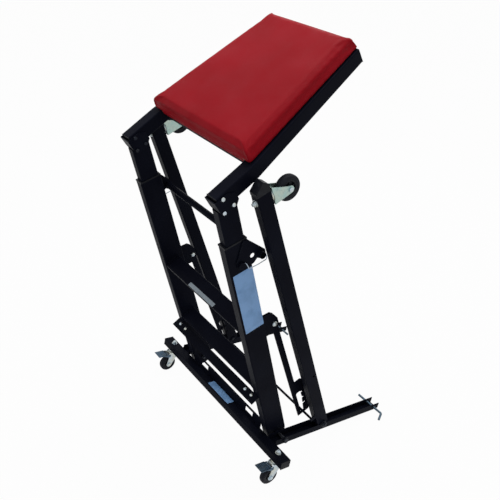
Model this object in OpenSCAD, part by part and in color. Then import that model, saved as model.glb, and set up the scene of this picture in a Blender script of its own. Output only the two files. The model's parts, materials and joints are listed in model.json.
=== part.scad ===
// Topside creeper: a folding ladder stand with a raised, padded chest deck.
// X runs across the stand, Y forwards along the base channels, Z up.
// The stand is drawn folded for storage, resting on its two rear casters and
// on the tips of the two base channels. The origin lies on the floor, under
// the middle of the stand.

/* [Stance] */
// Angle of the deck above square to the ladder
deck_slope = 16.9; // [10:0.1:22]
// Angle of the base channels below square to the ladder
channel_slope = 24; // [20:0.1:28]
// Angle of the folded legs behind the ladder line
leg_slope = 4.3; // [2:0.1:6]

/* [Base channels] */
// Distance from the middle of the stand to the outer face of a channel
channel_outer_x = 357; // [340:1:380]
// Width over a channel's two flanges
channel_w = 46; // [44:1:50]
// Height of a channel
channel_h = 30; // [26:1:36]
// Thickness of the channel plate
channel_wall = 3; // [2.5:0.5:4]
// Distance from the ladder pivot to the tip of a channel
channel_reach = 549; // [500:1:600]
// Height of the ladder pivot above the underside of a channel
foot_pivot_rise = 17; // [16:1:20]
// Distance from the ladder pivot to the leg pivot, along the channel
leg_pivot_s = 207; // [190:1:225]
// Distance from the ladder pivot to the locking pin, along the channel
lock_pin_s = 518; // [480:1:525]

/* [Caster bar] */
// Length of the caster bar
bar_l = 904; // [860:1:940]
// Width of the caster bar, along the channels
bar_w = 45; // [40:1:50]
// Height of the caster bar
bar_h = 34; // [30:1:40]
// Thickness of the caster bar's wall
bar_wall = 2; // [1.5:0.5:4]
// Gap between the caster bar and the sweep of the ladder's feet
bar_gap = 7; // [5:1:12]
// Depth of the caster bar's top face below the ladder pivot
bar_drop = 2; // [0:0.5:4]
// Distance from a rear caster to the end of the bar
rear_caster_inset = 50; // [40:1:60]

/* [Rear casters] */
// Radius of a rear wheel
rear_wheel_r = 38; // [32:1:40]
// Width of a rear wheel
rear_wheel_w = 24; // [20:1:28]
// Height of a rear caster, from the bar to the floor when level
rear_caster_h = 107; // [102:1:112]
// Trail of a rear caster's wheel behind its stem
rear_trail = 24; // [18:1:28]
// Travel of a brake pedal
pedal_travel = 14; // [8:1:16]

/* [Leg casters] */
// Radius of a leg wheel
leg_wheel_r = 44.5; // [40:0.5:52]
// Width of a leg wheel
leg_wheel_w = 26; // [24:1:34]
// Height of a leg caster
leg_caster_h = 115; // [110:1:136]
// Trail of a leg caster's wheel
leg_trail = 14; // [10:1:18]
// Distance from the leg caster's stem to the end of the leg tube
leg_caster_inset = 25; // [22:1:60]

/* [Legs] */
// Width of a leg
leg_w = 38; // [34:1:38]
// Depth of a leg
leg_d = 52; // [48:1:52]
// Thickness of a leg's wall
leg_wall = 1.5; // [1.5:0.5:3]
// Length of a leg tube above its pivot
leg_l = 1222; // [1215:1:1260]
// Radius of the hook rod between the legs
rod_r = 5; // [4:0.5:6]

/* [Ladder] */
// Distance from the middle of the stand to the outer face of an upright
upright_outer_x = 301; // [296:1:302]
// Width of an outer upright
upright_w = 41; // [40:1:44]
// Depth of an outer upright
upright_d = 87; // [80:1:88]
// Thickness of an outer upright's wall
upright_wall = 1.5; // [1.5:0.5:2.5]
// Length of an outer upright above its pivot
upright_l = 985; // [950:1:1000]
// Height of the upper tread's rear edge above the pivot
tread_upper_z = 588; // [560:1:600]
// Height of the lower tread's rear edge above the pivot
tread_lower_z = 288; // [270:1:320]
// Depth of a tread
tread_d = 66; // [60:1:80]
// Height of a tread's turned-down lips
tread_lip = 25; // [20:1:30]
// Thickness of the tread plate
tread_t = 2; // [1.5:0.5:3]

/* [Telescoping uprights] */
// Depth of an inner upright
inner_d = 71.5; // [64:0.5:72]
// Side clearance of an inner upright inside an outer one
inner_side_gap = 0.5; // [0.3:0.1:1]
// Length of the inner upright that stays inside the outer one
inner_hidden_l = 635; // [500:1:700]
// Travel of the deck on its telescoping uprights
lift_travel = 400; // [300:10:420]

/* [Deck] */
// Side of the square deck rails
rail_w = 50.8; // [44:0.1:52]
// Thickness of a rail's wall
rail_wall = 1.5; // [1.5:0.5:3]
// Length of a rail along the deck
rail_l = 689; // [640:1:720]
// Distance from a rail's back end to its bend
rail_bend_s = 146; // [130:1:160]
// Angle by which the rails turn in towards the front
rail_turn = 8.3; // [4:0.1:10]
// Height of the rails' back ends above the outer uprights
deck_rise = 197; // [185:1:220]
// Distance of the rails' back ends behind the ladder pivot
deck_back_y = 37; // [30:1:40]

/* [Cushion] */
// Start of the cushion, from the rails' back ends
cushion_start_s = 150; // [148:1:165]
// Length of the cushion
cushion_l = 548; // [500:1:570]
// Half the width of the cushion at its back
cushion_back_half = 299; // [280:1:303]
// Half the width of the cushion at its front
cushion_front_half = 221; // [200:1:226]
// Height of the cushion's sides
cushion_side_h = 46; // [36:1:54]
// Extra height of the cushion's crown
cushion_crown = 9; // [4:1:14]
// Radius of the cushion's corners in plan
cushion_corner_r = 12; // [8:1:40]
// Depth by which the cushion's sides draw in
cushion_draw = 6; // [2:1:10]

/* [Struts] */
// Distance of the strut pivot ahead of the ladder pivot
strut_pivot_y = 90.6; // [86:0.1:96]
// Height of the strut pivot above the ladder pivot
strut_pivot_z = 553; // [540:1:565]
// Thickness of a strut
strut_t = 5; // [4:0.5:5]
// Width of a strut's bar
strut_w = 25; // [22:1:36]

/* [Release bar] */
// Radius of the release bar
release_r = 12.5; // [10:0.5:13]
// Distance of the release bar ahead of the ladder pivot
release_y = 77; // [74:1:78]
// Distance of the release bar below the outer uprights' tops
release_drop = 80; // [72:1:95]
// Travel of the release bar
release_travel = 25; // [15:1:30]

/* [Hidden] */
$fn = 48;

// Finishes, as seen on the stand
BLACK = [0.06, 0.065, 0.08];
ZINC = [0.68, 0.72, 0.78];
RUBBER = [0.08, 0.08, 0.09];
RED = [0.60, 0.10, 0.13];
PLY = [0.62, 0.48, 0.32];

// One overrun serves every cut, and one gap every pair of flat faces that pass
cut = 1;
pass_gap = 0.3;
// Radial clearance of a running fit, of a still bolt and of a drop-in pin
run_fit = 0.05;
bolt_fit = 0.2;
pin_fit = 0.35;

// Pivot bolts
pivot_bolt_r = 7;
pivot_head_r = 12;
pivot_head_h = 8;
spacer_r = 13;
lug_r = 15;
foot_flat_rise = 2.4;

// Locking pins
lock_pin_r = 5;
lock_pin_in = 48;
lock_pin_out = 48;
lock_pin_bend = 17;

// The foot plate that stands on the caster bar, with its square holes
foot_plate_h = 44;
foot_plate_t = 3;
foot_plate_half = 254;
foot_hole = 20;
foot_hole_w = 50;
foot_hole_x = 145;
foot_hole_n = 12;
plug_t = 3;
plug_depth = 14;

// Caster pieces
race_r = 22;
race_t = 5;
stem_r = 6;
stem_head_r = 13;
stem_head_t = 3.5;
stem_end = 5;
nut_r = 10;
nut_t = 8;
fork_t = 3;
fork_gap = 2.5;
fork_web_r = 24;
leg_web_half = 32;
axle_r = 5;
axle_head_r = 8.5;
axle_head_t = 5;
fork_foot_r = 13;
tread_round_share = 0.22;
hub_share = 0.66;

// Brake pedals
pedal_t = 2.5;
pedal_w = 46;
pedal_l = 44;
pedal_pin_r = 3;
pedal_pin_s = 30;
pedal_pin_n = 15;
pedal_arm_w = 14;

// Leg details
cap_back_h = 14;
cap_peak_h = 43;
cap_front_h = 26;
cap_peak_share = 0.65;
rod_lug_t = 4;
rod_lug_r = 9;
rod_out = 45;
rod_up = 74;

// Ladder details
kick_top_z = 255;
kick_low_z = 200;
kick_turn = 37;
kick_t = 2;
kick_half = 299;
kick_bolt_x = [225, 266];
kick_bolt_s = 12;
small_bolt_r = 4;
small_head_r = 7;
small_head_h = 4.5;
collar_t = 6;
collar_pad_l = 60;
collar_fit = 0.25;
bracket_t = 3;
bracket_up = 63;
bracket_down = 33;
bracket_nose = [[4, -37], [18, -11], [16, 22], [3, 47], [-9, 59]];
strut_inset = 16;
strut_bolt_r = 6;
strut_head_r = 9;
strut_head_h = 6;

// Struts: the wide plate, its long slot and its three hook notches
plate_start = 372;
plate_end = 575;
plate_front = 55;
plate_corner = 14;
slot_start = 439;
slot_taper = 480;
slot_end = 567;
slot_back = 5;
slot_front = 29.5;
slot_round = 8;
rod_in_slot = 11.5;
notch_at = [455, 490, 525];
notch_h = 11;
notch_reach = 20;
notch_tilt = 12;

// Release bar details
release_pin_r = 8;
release_pin_y = 1;
release_pin_drop = 4;
release_wall = 1.5;
release_stud = 13;
release_plate_t = 4;
release_bar_half = 324;
release_hole_r = 9;
release_hole_y = 47;
release_hole_z = 12;
release_back = 16;
release_top = 86;
release_nose = 22;
release_chin = 24;
release_hook_y = 96;
release_hook_z = 32;
release_hook_rise = 16;
spring_r = 1.5;
spring_swell = 0.1;
spring_start_y = 6;

// Deck details
head_t = 4;
head_base_t = 3;
head_gap = 8;
head_front = 62;
head_top = 8;
head_bottom = 24;
head_strap_h = 40;
head_bolt_r = 4;
head_bolt_low = 59;
head_bolt_high = 15;
head_bolt_s = [-1, 38, 18];
head_boss_r = 9;
rail_cap_t = 2.5;
rail_cap_depth = 12;
rail_cap_fit = 0.3;
member_w = 25;
member_s = [172, 425, 660];
board_t = 12;
board_start = 156;
board_end = 684;
board_gap = 1;
inner_wall = 1.5;

// Cushion form
corner_steps = 5;
side_steps = 7;
cushion_shares = [0, 0.12, 0.36, 0.66, 0.88, 1];
cushion_insets = [11, 3, 0, 1, 6, 17];
crown_shares = [0.86, 0.62, 0.34];

// Derived places. Y and Z pairs are in the ladder's own frame unless said.
function turned(p, a) = [p.x * cos(a) - p.y * sin(a), p.x * sin(a) + p.y * cos(a)];
rear_caster_x = bar_l / 2 - rear_caster_inset;
leg_caster_z = leg_l - leg_caster_inset;
deck_back_z = upright_l + deck_rise;
release_z = upright_l - release_drop;
release_pin_z = release_z - release_pin_drop;
channel_inner_x = channel_outer_x - channel_w;
channel_mid_x = channel_outer_x - channel_w / 2;
upright_mid_x = upright_outer_x - upright_w / 2;
foot_r = upright_d / 2;
bar_front_s = -foot_r - bar_gap;
bar_mid_s = bar_front_s - bar_w / 2;
bar_bottom_n = -bar_drop - bar_h;
leg_pivot_n = leg_d / 2 + channel_wall + pass_gap - foot_pivot_rise;
leg_pivot = turned([leg_pivot_s, leg_pivot_n], -channel_slope);
rod = leg_pivot + turned([-rod_out, rod_up], leg_slope);
strut_pivot = [strut_pivot_y, strut_pivot_z];
strut_line = rod - strut_pivot;
strut_angle = atan2(strut_line.x, -strut_line.y) - asin(rod_in_slot / norm(strut_line));
rear_axle_n = bar_bottom_n - rear_caster_h + rear_wheel_r;
rear_axle = turned([bar_mid_s - rear_trail, rear_axle_n], -channel_slope);
tip = turned([channel_reach, foot_flat_rise - foot_pivot_rise], -channel_slope);
tip_line = tip - rear_axle;
lean = atan2(-tip_line.y, tip_line.x) - asin(rear_wheel_r / norm(tip_line));
deck_origin = [-deck_back_y, deck_back_z];
head_back = deck_origin + turned([-head_gap - head_t, -head_top], deck_slope);
front_y = turned(turned([channel_reach, channel_h - foot_pivot_rise], -channel_slope), lean).x;
back_y = turned(head_back, lean).x;
middle_y = (front_y + back_y) / 2;
lift = -turned(tip, lean).y;
inner_w = upright_w - 2 * upright_wall - 2 * inner_side_gap;
inner_bottom_z = upright_l - inner_hidden_l;
rail_outer_x = upright_mid_x + rail_w / 2 + (upright_w - inner_w) / 2;
rail_inner_x = rail_outer_x - rail_w;
strut_x = upright_outer_x - strut_inset - strut_t / 2;
strut_out_x = strut_x + strut_t + pass_gap;
release_arm = [release_y - release_pin_y, release_z - release_pin_z];

// Frames of the four main assemblies
module on_floor() {
    translate([0, -middle_y, lift]) rotate([lean, 0, 0]) children();
}
module base_frame() {
    on_floor() rotate([-channel_slope, 0, 0]) children();
}
module leg_frame() {
    on_floor() translate([0, leg_pivot.x, leg_pivot.y]) rotate([leg_slope, 0, 0]) children();
}
module deck_frame() {
    on_floor() translate([0, deck_origin.x, deck_origin.y]) rotate([deck_slope, 0, 0]) children();
}
module strut_frame() {
    on_floor() translate([0, strut_pivot.x, strut_pivot.y]) rotate([strut_angle, 0, 0]) children();
}
// Both sides at once: +1 is the stand's right, -1 its left
module both() {
    children();
    mirror([1, 0, 0]) children();
}
module side(s) {
    mirror([s < 0 ? 1 : 0, 0, 0]) children();
}

// A Y-Z outline given thickness along X, from x0 outwards
module plate_x(x0, t) {
    translate([x0, 0, 0]) rotate([90, 0, 90]) linear_extrude(t) children();
}
module box(lo, hi) {
    translate(lo) cube(hi - lo);
}
module rod_x(x0, x1, r) {
    translate([x0, 0, 0]) rotate([0, 90, 0]) cylinder(h = x1 - x0, r = r);
}
module hex_x(x0, t, r) {
    translate([x0, 0, 0]) rotate([0, 90, 0]) cylinder(h = t, r = r, $fn = 6);
}
module at(y, z) {
    translate([0, y, z]) children();
}
// A domed head that stands out along X from x0
module domed_x(x0, r, h) {
    translate([x0, 0, 0]) rotate([0, 90, 0]) rotate_extrude() intersection() {
        square([r, h]);
        translate([0, h - (r * r + h * h) / (2 * h)]) circle(r = (r * r + h * h) / (2 * h), $fn = 96);
    }
}
// An upright bar's outline: square at the top, round about its pivot at the foot
module footed(d, l) {
    circle(d = d);
    translate([-d / 2, 0]) square([d, l]);
}

// Caster bar with its stem holes
module caster_bar() {
    color(BLACK) base_frame() difference() {
        box([-bar_l / 2, bar_front_s - bar_w, bar_bottom_n], [bar_l / 2, bar_front_s, -bar_drop]);
        box([-bar_l / 2 - cut, bar_front_s - bar_w + bar_wall, bar_bottom_n + bar_wall],
            [bar_l / 2 + cut, bar_front_s - bar_wall, -bar_drop - bar_wall]);
        both() translate([rear_caster_x, bar_mid_s, bar_bottom_n - cut])
            cylinder(h = bar_h + 2 * cut, r = stem_r + bolt_fit);
    }
}
module caster_bar_plugs() {
    color(RUBBER) base_frame() both() {
        box([bar_l / 2, bar_front_s - bar_w, bar_bottom_n],
            [bar_l / 2 + plug_t, bar_front_s, -bar_drop]);
        box([bar_l / 2 - plug_depth, bar_front_s - bar_w + bar_wall + bolt_fit,
             bar_bottom_n + bar_wall + bolt_fit],
            [bar_l / 2, bar_front_s - bar_wall - bolt_fit, -bar_drop - bar_wall - bolt_fit]);
    }
}
module foot_plate() {
    color(BLACK) base_frame() difference() {
        box([-foot_plate_half, bar_front_s - foot_plate_t, -bar_drop],
            [foot_plate_half, bar_front_s, -bar_drop + foot_plate_h]);
        both() box([foot_hole_x, bar_front_s - foot_plate_t - cut, foot_hole_n],
                   [foot_hole_x + foot_hole_w, bar_front_s + cut, foot_hole_n + foot_hole]);
    }
}

// Base channel with raised pivot lugs, cut flat where its tip meets the floor
module channel_flange() {
    translate([bar_front_s, -foot_pivot_rise]) square([channel_reach - bar_front_s, channel_h]);
    circle(r = lug_r);
    translate([leg_pivot_s, leg_pivot_n]) circle(r = lug_r);
}
module channel() {
    difference() {
        plate_x(channel_inner_x, channel_w) channel_flange();
        box([channel_inner_x + channel_wall, bar_front_s - cut, channel_wall - foot_pivot_rise],
            [channel_outer_x - channel_wall, channel_reach + cut, leg_pivot_n + lug_r + cut]);
        rod_x(channel_inner_x - cut, channel_outer_x + cut, pivot_bolt_r + bolt_fit);
        at(leg_pivot_s, leg_pivot_n)
            rod_x(channel_inner_x - cut, channel_outer_x + cut, pivot_bolt_r + bolt_fit);
        at(lock_pin_s, 0)
            rod_x(channel_inner_x - cut, channel_outer_x + cut, lock_pin_r + pin_fit);
        at(channel_reach, foot_flat_rise - foot_pivot_rise) rotate([channel_slope - lean, 0, 0])
            box([channel_inner_x - cut, -channel_h, -channel_h],
                [channel_outer_x + cut, channel_h, 0]);
    }
}
module channel_left() { color(BLACK) base_frame() side(-1) channel(); }
module channel_right() { color(BLACK) base_frame() side(1) channel(); }

// Ladder pivots: a bolt each, through the channel, a spacer and the upright
module foot_bolts() {
    color(ZINC) base_frame() both() {
        rod_x(upright_outer_x - upright_w - pivot_head_h - pass_gap - stem_end,
              channel_outer_x, pivot_bolt_r);
        hex_x(channel_outer_x, pivot_head_h, pivot_head_r);
    }
}
module foot_spacers() {
    color(BLACK) base_frame() both() difference() {
        rod_x(upright_outer_x + pass_gap, channel_inner_x, spacer_r);
        rod_x(upright_outer_x - cut, channel_inner_x + cut, pivot_bolt_r + bolt_fit);
    }
}
module leg_pivot_bolts() {
    color(ZINC) base_frame() both() at(leg_pivot_s, leg_pivot_n) {
        rod_x(channel_inner_x, channel_outer_x + pivot_head_h + stem_end, pivot_bolt_r);
    }
}
module pivot_nuts() {
    color(ZINC) base_frame() both() {
        difference() {
            hex_x(upright_outer_x - upright_w - pass_gap - pivot_head_h, pivot_head_h, pivot_head_r);
            rod_x(cut, upright_outer_x, pivot_bolt_r + run_fit);
        }
        at(leg_pivot_s, leg_pivot_n) difference() {
            hex_x(channel_outer_x, pivot_head_h, pivot_head_r);
            rod_x(channel_inner_x, 2 * channel_outer_x, pivot_bolt_r + run_fit);
        }
    }
}

// Casters are drawn about their stem: Z up the stem from the mounting face,
// Y towards the trailing wheel.
module caster_stem(grip) {
    translate([0, 0, -race_t]) cylinder(h = race_t, r = race_r);
    translate([0, 0, -race_t - 2 * pass_gap - fork_t - stem_head_t])
        cylinder(h = stem_head_t, r = stem_head_r);
    translate([0, 0, -race_t - 2 * pass_gap - fork_t - stem_head_t])
        cylinder(h = race_t + 2 * pass_gap + fork_t + stem_head_t + grip + nut_t + stem_end, r = stem_r);
}
module caster_nut(grip) {
    translate([0, 0, grip]) difference() {
        cylinder(h = nut_t, r = nut_r, $fn = 6);
        translate([0, 0, -cut]) cylinder(h = nut_t + 2 * cut, r = stem_r + run_fit);
    }
}
// Outline of a fork's side plate, from the web down to the axle
module fork_side(trail, drop, web) {
    difference() {
        union() {
            polygon([[-web, 0], [web, 0], [trail + fork_foot_r, -drop],
                     [trail - fork_foot_r, -drop]]);
            translate([trail, -drop]) circle(r = fork_foot_r);
            children();
        }
        translate([trail, -drop]) circle(r = axle_r + bolt_fit);
    }
}
module fork(trail, h, wheel_r, wheel_w, web) {
    web_top = -race_t - pass_gap;
    half = wheel_w / 2 + fork_gap;
    drop = h - wheel_r + web_top;
    difference() {
        union() {
            translate([0, 0, web_top - fork_t]) cylinder(h = fork_t, r = fork_web_r);
            box([-half - fork_t, -web, web_top - fork_t], [half + fork_t, web, web_top]);
            both() plate_x(half, fork_t) translate([0, web_top])
                fork_side(trail, drop, web) children();
        }
        translate([0, 0, web_top - fork_t - cut])
            cylinder(h = fork_t + 2 * cut, r = stem_r + run_fit);
    }
}
module axle(trail, h, wheel_r, wheel_w) {
    half = wheel_w / 2 + fork_gap + fork_t;
    at(trail, wheel_r - h) {
        rod_x(-half - nut_t / 2, half, axle_r);
        hex_x(half, axle_head_t, axle_head_r);
        difference() {
            hex_x(-half - axle_head_t, axle_head_t, axle_head_r);
            rod_x(-half - nut_t, half, axle_r);
        }
    }
}
// A tyre's or wheel's section, rounded at its running edge
module wheel_section(r0, r1, w) {
    round = tread_round_share * w;
    difference() {
        translate([r0, -w / 2]) square([r1 - r0, w]);
        for (m = [-1, 1]) translate([r1 - round, m * (w / 2 - round)]) difference() {
            translate([0, m < 0 ? -round - cut : 0]) square([round + cut, round + cut]);
            circle(r = round);
        }
    }
}
module wheel_x(trail, h, wheel_r) {
    at(trail, wheel_r - h) rotate([0, 90, 0]) rotate_extrude($fn = 96) children();
}

// Rear casters trail towards the back of the stand
module rear_mount(s) {
    base_frame() translate([s * rear_caster_x, bar_mid_s, bar_bottom_n]) mirror([0, 1, 0]) children();
}
module rear_caster_stems() {
    color(ZINC) for (s = [-1, 1]) rear_mount(s) caster_stem(bar_h);
}
module rear_caster_nuts() {
    color(ZINC) for (s = [-1, 1]) rear_mount(s) caster_nut(bar_h);
}
module rear_fork(s) {
    color(ZINC) rear_mount(s) difference() {
        fork(rear_trail, rear_caster_h, rear_wheel_r, rear_wheel_w, fork_web_r)
            polygon([[0, 0], [fork_web_r, 0], [pedal_pin_s + pedal_pin_r * 2, -pedal_pin_n],
                     [rear_trail, -pedal_pin_n * 2], [0, -pedal_pin_n]]);
        at(pedal_pin_s, -race_t - pass_gap - pedal_pin_n)
            rod_x(-rear_wheel_w, rear_wheel_w, pedal_pin_r + run_fit);
    }
}
module rear_fork_left() { rear_fork(-1); }
module rear_fork_right() { rear_fork(1); }
module rear_axle(s) {
    color(ZINC) rear_mount(s) axle(rear_trail, rear_caster_h, rear_wheel_r, rear_wheel_w);
}
module rear_axle_left() { rear_axle(-1); }
module rear_axle_right() { rear_axle(1); }
module rear_wheel(s) {
    color(RUBBER) rear_mount(s) wheel_x(rear_trail, rear_caster_h, rear_wheel_r)
        wheel_section(axle_r + run_fit, rear_wheel_r, rear_wheel_w);
}
module rear_wheel_left() { rear_wheel(-1); }
module rear_wheel_right() { rear_wheel(1); }
// Brake pedal: a cross pin, a short arm and the broad foot plate
module brake_pedal(s) {
    half = rear_wheel_w / 2 + fork_gap;
    color(ZINC) rear_mount(s) at(pedal_pin_s, -race_t - pass_gap - pedal_pin_n) {
        rod_x(-half - fork_t - pedal_t, half + fork_t + pedal_t, pedal_pin_r);
        both() plate_x(half + fork_t + pass_gap, pedal_t)
            polygon([[-pedal_pin_r * 2, -pedal_pin_r * 2], [pedal_pin_r * 2, -pedal_pin_r * 2],
                     [pedal_arm_w + pedal_l / 2, pedal_arm_w / 2],
                     [pedal_arm_w, pedal_arm_w / 2 + pedal_t], [-pedal_pin_r * 2, pedal_pin_r * 2]]);
        box([-pedal_w / 2, pedal_arm_w, pedal_arm_w / 2],
            [pedal_w / 2, pedal_arm_w + pedal_l, pedal_arm_w / 2 + pedal_t]);
    }
}
module brake_pedal_left() { brake_pedal(-1); }
module brake_pedal_right() { brake_pedal(1); }

// Legs: tubes that fold down into the base channels
module leg() {
    x0 = channel_mid_x - leg_w / 2;
    difference() {
        union() {
            plate_x(x0, leg_w) footed(leg_d, leg_l);
            plate_x(x0 + leg_w - rod_lug_t, rod_lug_t) {
                translate([-rod_out, rod_up]) circle(r = rod_lug_r);
                translate([-rod_out, rod_up - rod_lug_r]) square([rod_out, 2 * rod_lug_r]);
            }
        }
        plate_x(x0 + leg_wall, leg_w - 2 * leg_wall) footed(leg_d - 2 * leg_wall, leg_l + cut);
        rod_x(x0 - cut, x0 + leg_w + cut, pivot_bolt_r + run_fit);
        at(leg_pivot_n, lock_pin_s - leg_pivot_s)
            rod_x(x0 - cut, x0 + leg_w + cut, lock_pin_r + pin_fit);
        translate([channel_mid_x, -leg_d / 2 - cut, leg_caster_z]) rotate([-90, 0, 0])
            cylinder(h = leg_d + 2 * cut, r = stem_r + bolt_fit);
    }
}
module leg_left() { color(BLACK) leg_frame() side(-1) leg(); }
module leg_right() { color(BLACK) leg_frame() side(1) leg(); }
module leg_caps() {
    x0 = channel_mid_x - leg_w / 2;
    color(RUBBER) leg_frame() both() {
        plate_x(x0, leg_w) polygon([
            [-leg_d / 2, leg_l], [leg_d / 2, leg_l], [leg_d / 2, leg_l + cap_front_h],
            [leg_d * (cap_peak_share - 0.5), leg_l + cap_peak_h],
            [-leg_d / 2, leg_l + cap_back_h]]);
        box([x0 + leg_wall + bolt_fit, -leg_d / 2 + leg_wall + bolt_fit, leg_l - stem_end],
            [x0 + leg_w - leg_wall - bolt_fit, leg_d / 2 - leg_wall - bolt_fit, leg_l]);
    }
}
module hook_rod() {
    half = channel_mid_x + leg_w / 2 - rod_lug_t;
    color(BLACK) leg_frame() at(-rod_out, rod_up) rod_x(-half, half, rod_r);
}
module leg_mount(s) {
    leg_frame() translate([s * channel_mid_x, leg_d / 2, leg_caster_z]) rotate([90, 0, 0])
        mirror([0, 1, 0]) children();
}
module leg_caster_stems() {
    color(ZINC) for (s = [-1, 1]) leg_mount(s) caster_stem(leg_d);
}
module leg_caster_nuts() {
    color(ZINC) for (s = [-1, 1]) leg_mount(s) caster_nut(leg_d);
}
module leg_fork(s) {
    color(ZINC) leg_mount(s) fork(leg_trail, leg_caster_h, leg_wheel_r, leg_wheel_w,
                                       leg_web_half);
}
module leg_fork_left() { leg_fork(-1); }
module leg_fork_right() { leg_fork(1); }
module leg_axle(s) {
    color(ZINC) leg_mount(s) axle(leg_trail, leg_caster_h, leg_wheel_r, leg_wheel_w);
}
module leg_axle_left() { leg_axle(-1); }
module leg_axle_right() { leg_axle(1); }
module leg_tyre(s) {
    color(RUBBER) leg_mount(s) wheel_x(leg_trail, leg_caster_h, leg_wheel_r)
        wheel_section(hub_share * leg_wheel_r + run_fit, leg_wheel_r, leg_wheel_w);
}
module leg_tyre_left() { leg_tyre(-1); }
module leg_tyre_right() { leg_tyre(1); }
module leg_hub(s) {
    color(RUBBER) leg_mount(s) wheel_x(leg_trail, leg_caster_h, leg_wheel_r)
        translate([axle_r + run_fit, -leg_wheel_w / 2])
            square([hub_share * leg_wheel_r - axle_r - run_fit, leg_wheel_w]);
}
module leg_hub_left() { leg_hub(-1); }
module leg_hub_right() { leg_hub(1); }

// Ladder: two outer uprights with two treads and a kick plate between them
module outer_upright() {
    x0 = upright_outer_x - upright_w;
    difference() {
        plate_x(x0, upright_w) footed(upright_d, upright_l);
        plate_x(x0 + upright_wall, upright_w - 2 * upright_wall)
            footed(upright_d - 2 * upright_wall, upright_l + cut);
        rod_x(x0 - cut, upright_outer_x + cut, pivot_bolt_r + run_fit);
    }
}
module outer_upright_left() { color(BLACK) on_floor() side(-1) outer_upright(); }
module outer_upright_right() { color(BLACK) on_floor() side(1) outer_upright(); }
// A tread: a folded plate, level when the deck is level
module tread(z) {
    half = upright_outer_x - upright_w;
    color(BLACK) on_floor() translate([0, -upright_d / 2, z]) rotate([deck_slope, 0, 0])
        plate_x(-half, 2 * half) difference() {
            translate([0, -tread_lip]) square([tread_d, tread_lip]);
            translate([tread_t, -tread_lip - cut]) square([tread_d - 2 * tread_t, tread_lip - tread_t + cut]);
        }
}
module tread_upper() { tread(tread_upper_z); }
module tread_lower() { tread(tread_lower_z); }
// Kick plate: an angle across the back of the uprights, its upper edge turned back
module kick_flange() {
    on_floor() translate([0, -upright_d / 2 - kick_t, kick_top_z]) rotate([deck_slope, 0, 0]) children();
}
module kick_plate() {
    color(BLACK) difference() {
        union() {
            on_floor() box([-kick_half, -upright_d / 2 - kick_t, kick_low_z],
                           [kick_half, -upright_d / 2, kick_top_z]);
            kick_flange() box([-kick_half, -kick_turn, -kick_t], [kick_half, kick_t / 2, 0]);
        }
        kick_flange() both() for (x = kick_bolt_x) translate([x, -kick_bolt_s, -kick_t - cut])
            cylinder(h = kick_t + 2 * cut, r = small_bolt_r + bolt_fit);
    }
}
module kick_plate_bolts() {
    color(ZINC) kick_flange() both() for (x = kick_bolt_x) translate([x, -kick_bolt_s, 0])
        rotate([0, -90, 0]) {
            rod_x(-kick_t - nut_t, 0, small_bolt_r);
            domed_x(0, small_head_r, small_head_h);
            hex_x(-kick_t - small_head_h, small_head_h, small_head_r);
        }
}
// Strut brackets: clevises on the front faces of the uprights
module strut_brackets() {
    face = upright_d / 2;
    color(BLACK) on_floor() both() difference() {
        union() {
            box([strut_x - pass_gap - bracket_t, face, strut_pivot_z - bracket_down],
                [strut_out_x + bracket_t, face + bracket_t, strut_pivot_z + bracket_up]);
            for (x = [strut_x - pass_gap - bracket_t, strut_out_x]) plate_x(x, bracket_t)
                polygon(concat([[face, strut_pivot_z + bracket_up], [face, strut_pivot_z - bracket_down]],
                               [for (p = bracket_nose) strut_pivot + p]));
        }
        at(strut_pivot.x, strut_pivot.y) rod_x(0, upright_outer_x, strut_bolt_r + bolt_fit);
    }
}
module strut_bolts() {
    inside = strut_x - pass_gap - bracket_t;
    color(ZINC) strut_frame() both() {
        rod_x(inside - strut_head_h, strut_out_x + bracket_t, strut_bolt_r);
        domed_x(strut_out_x + bracket_t, strut_head_r, strut_head_h);
        hex_x(inside - strut_head_h, strut_head_h, strut_head_r);
    }
}
// Guide collars: close the outer uprights' mouths around the inner ones
module guide_collars() {
    y_in = inner_d / 2 + collar_fit;
    color(RUBBER) on_floor() both() {
        difference() {
            box([upright_outer_x - upright_w, -upright_d / 2, upright_l],
                [upright_outer_x, upright_d / 2, upright_l + collar_t]);
            box([upright_mid_x - inner_w / 2 - collar_fit, -y_in, upright_l - cut],
                [upright_mid_x + inner_w / 2 + collar_fit, y_in, upright_l + collar_t + cut]);
        }
        for (m = [0, 1]) mirror([0, m, 0])
            box([upright_mid_x - inner_w / 2, y_in, upright_l - collar_pad_l],
                [upright_mid_x + inner_w / 2, upright_d / 2 - upright_wall - bolt_fit, upright_l]);
    }
}
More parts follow.
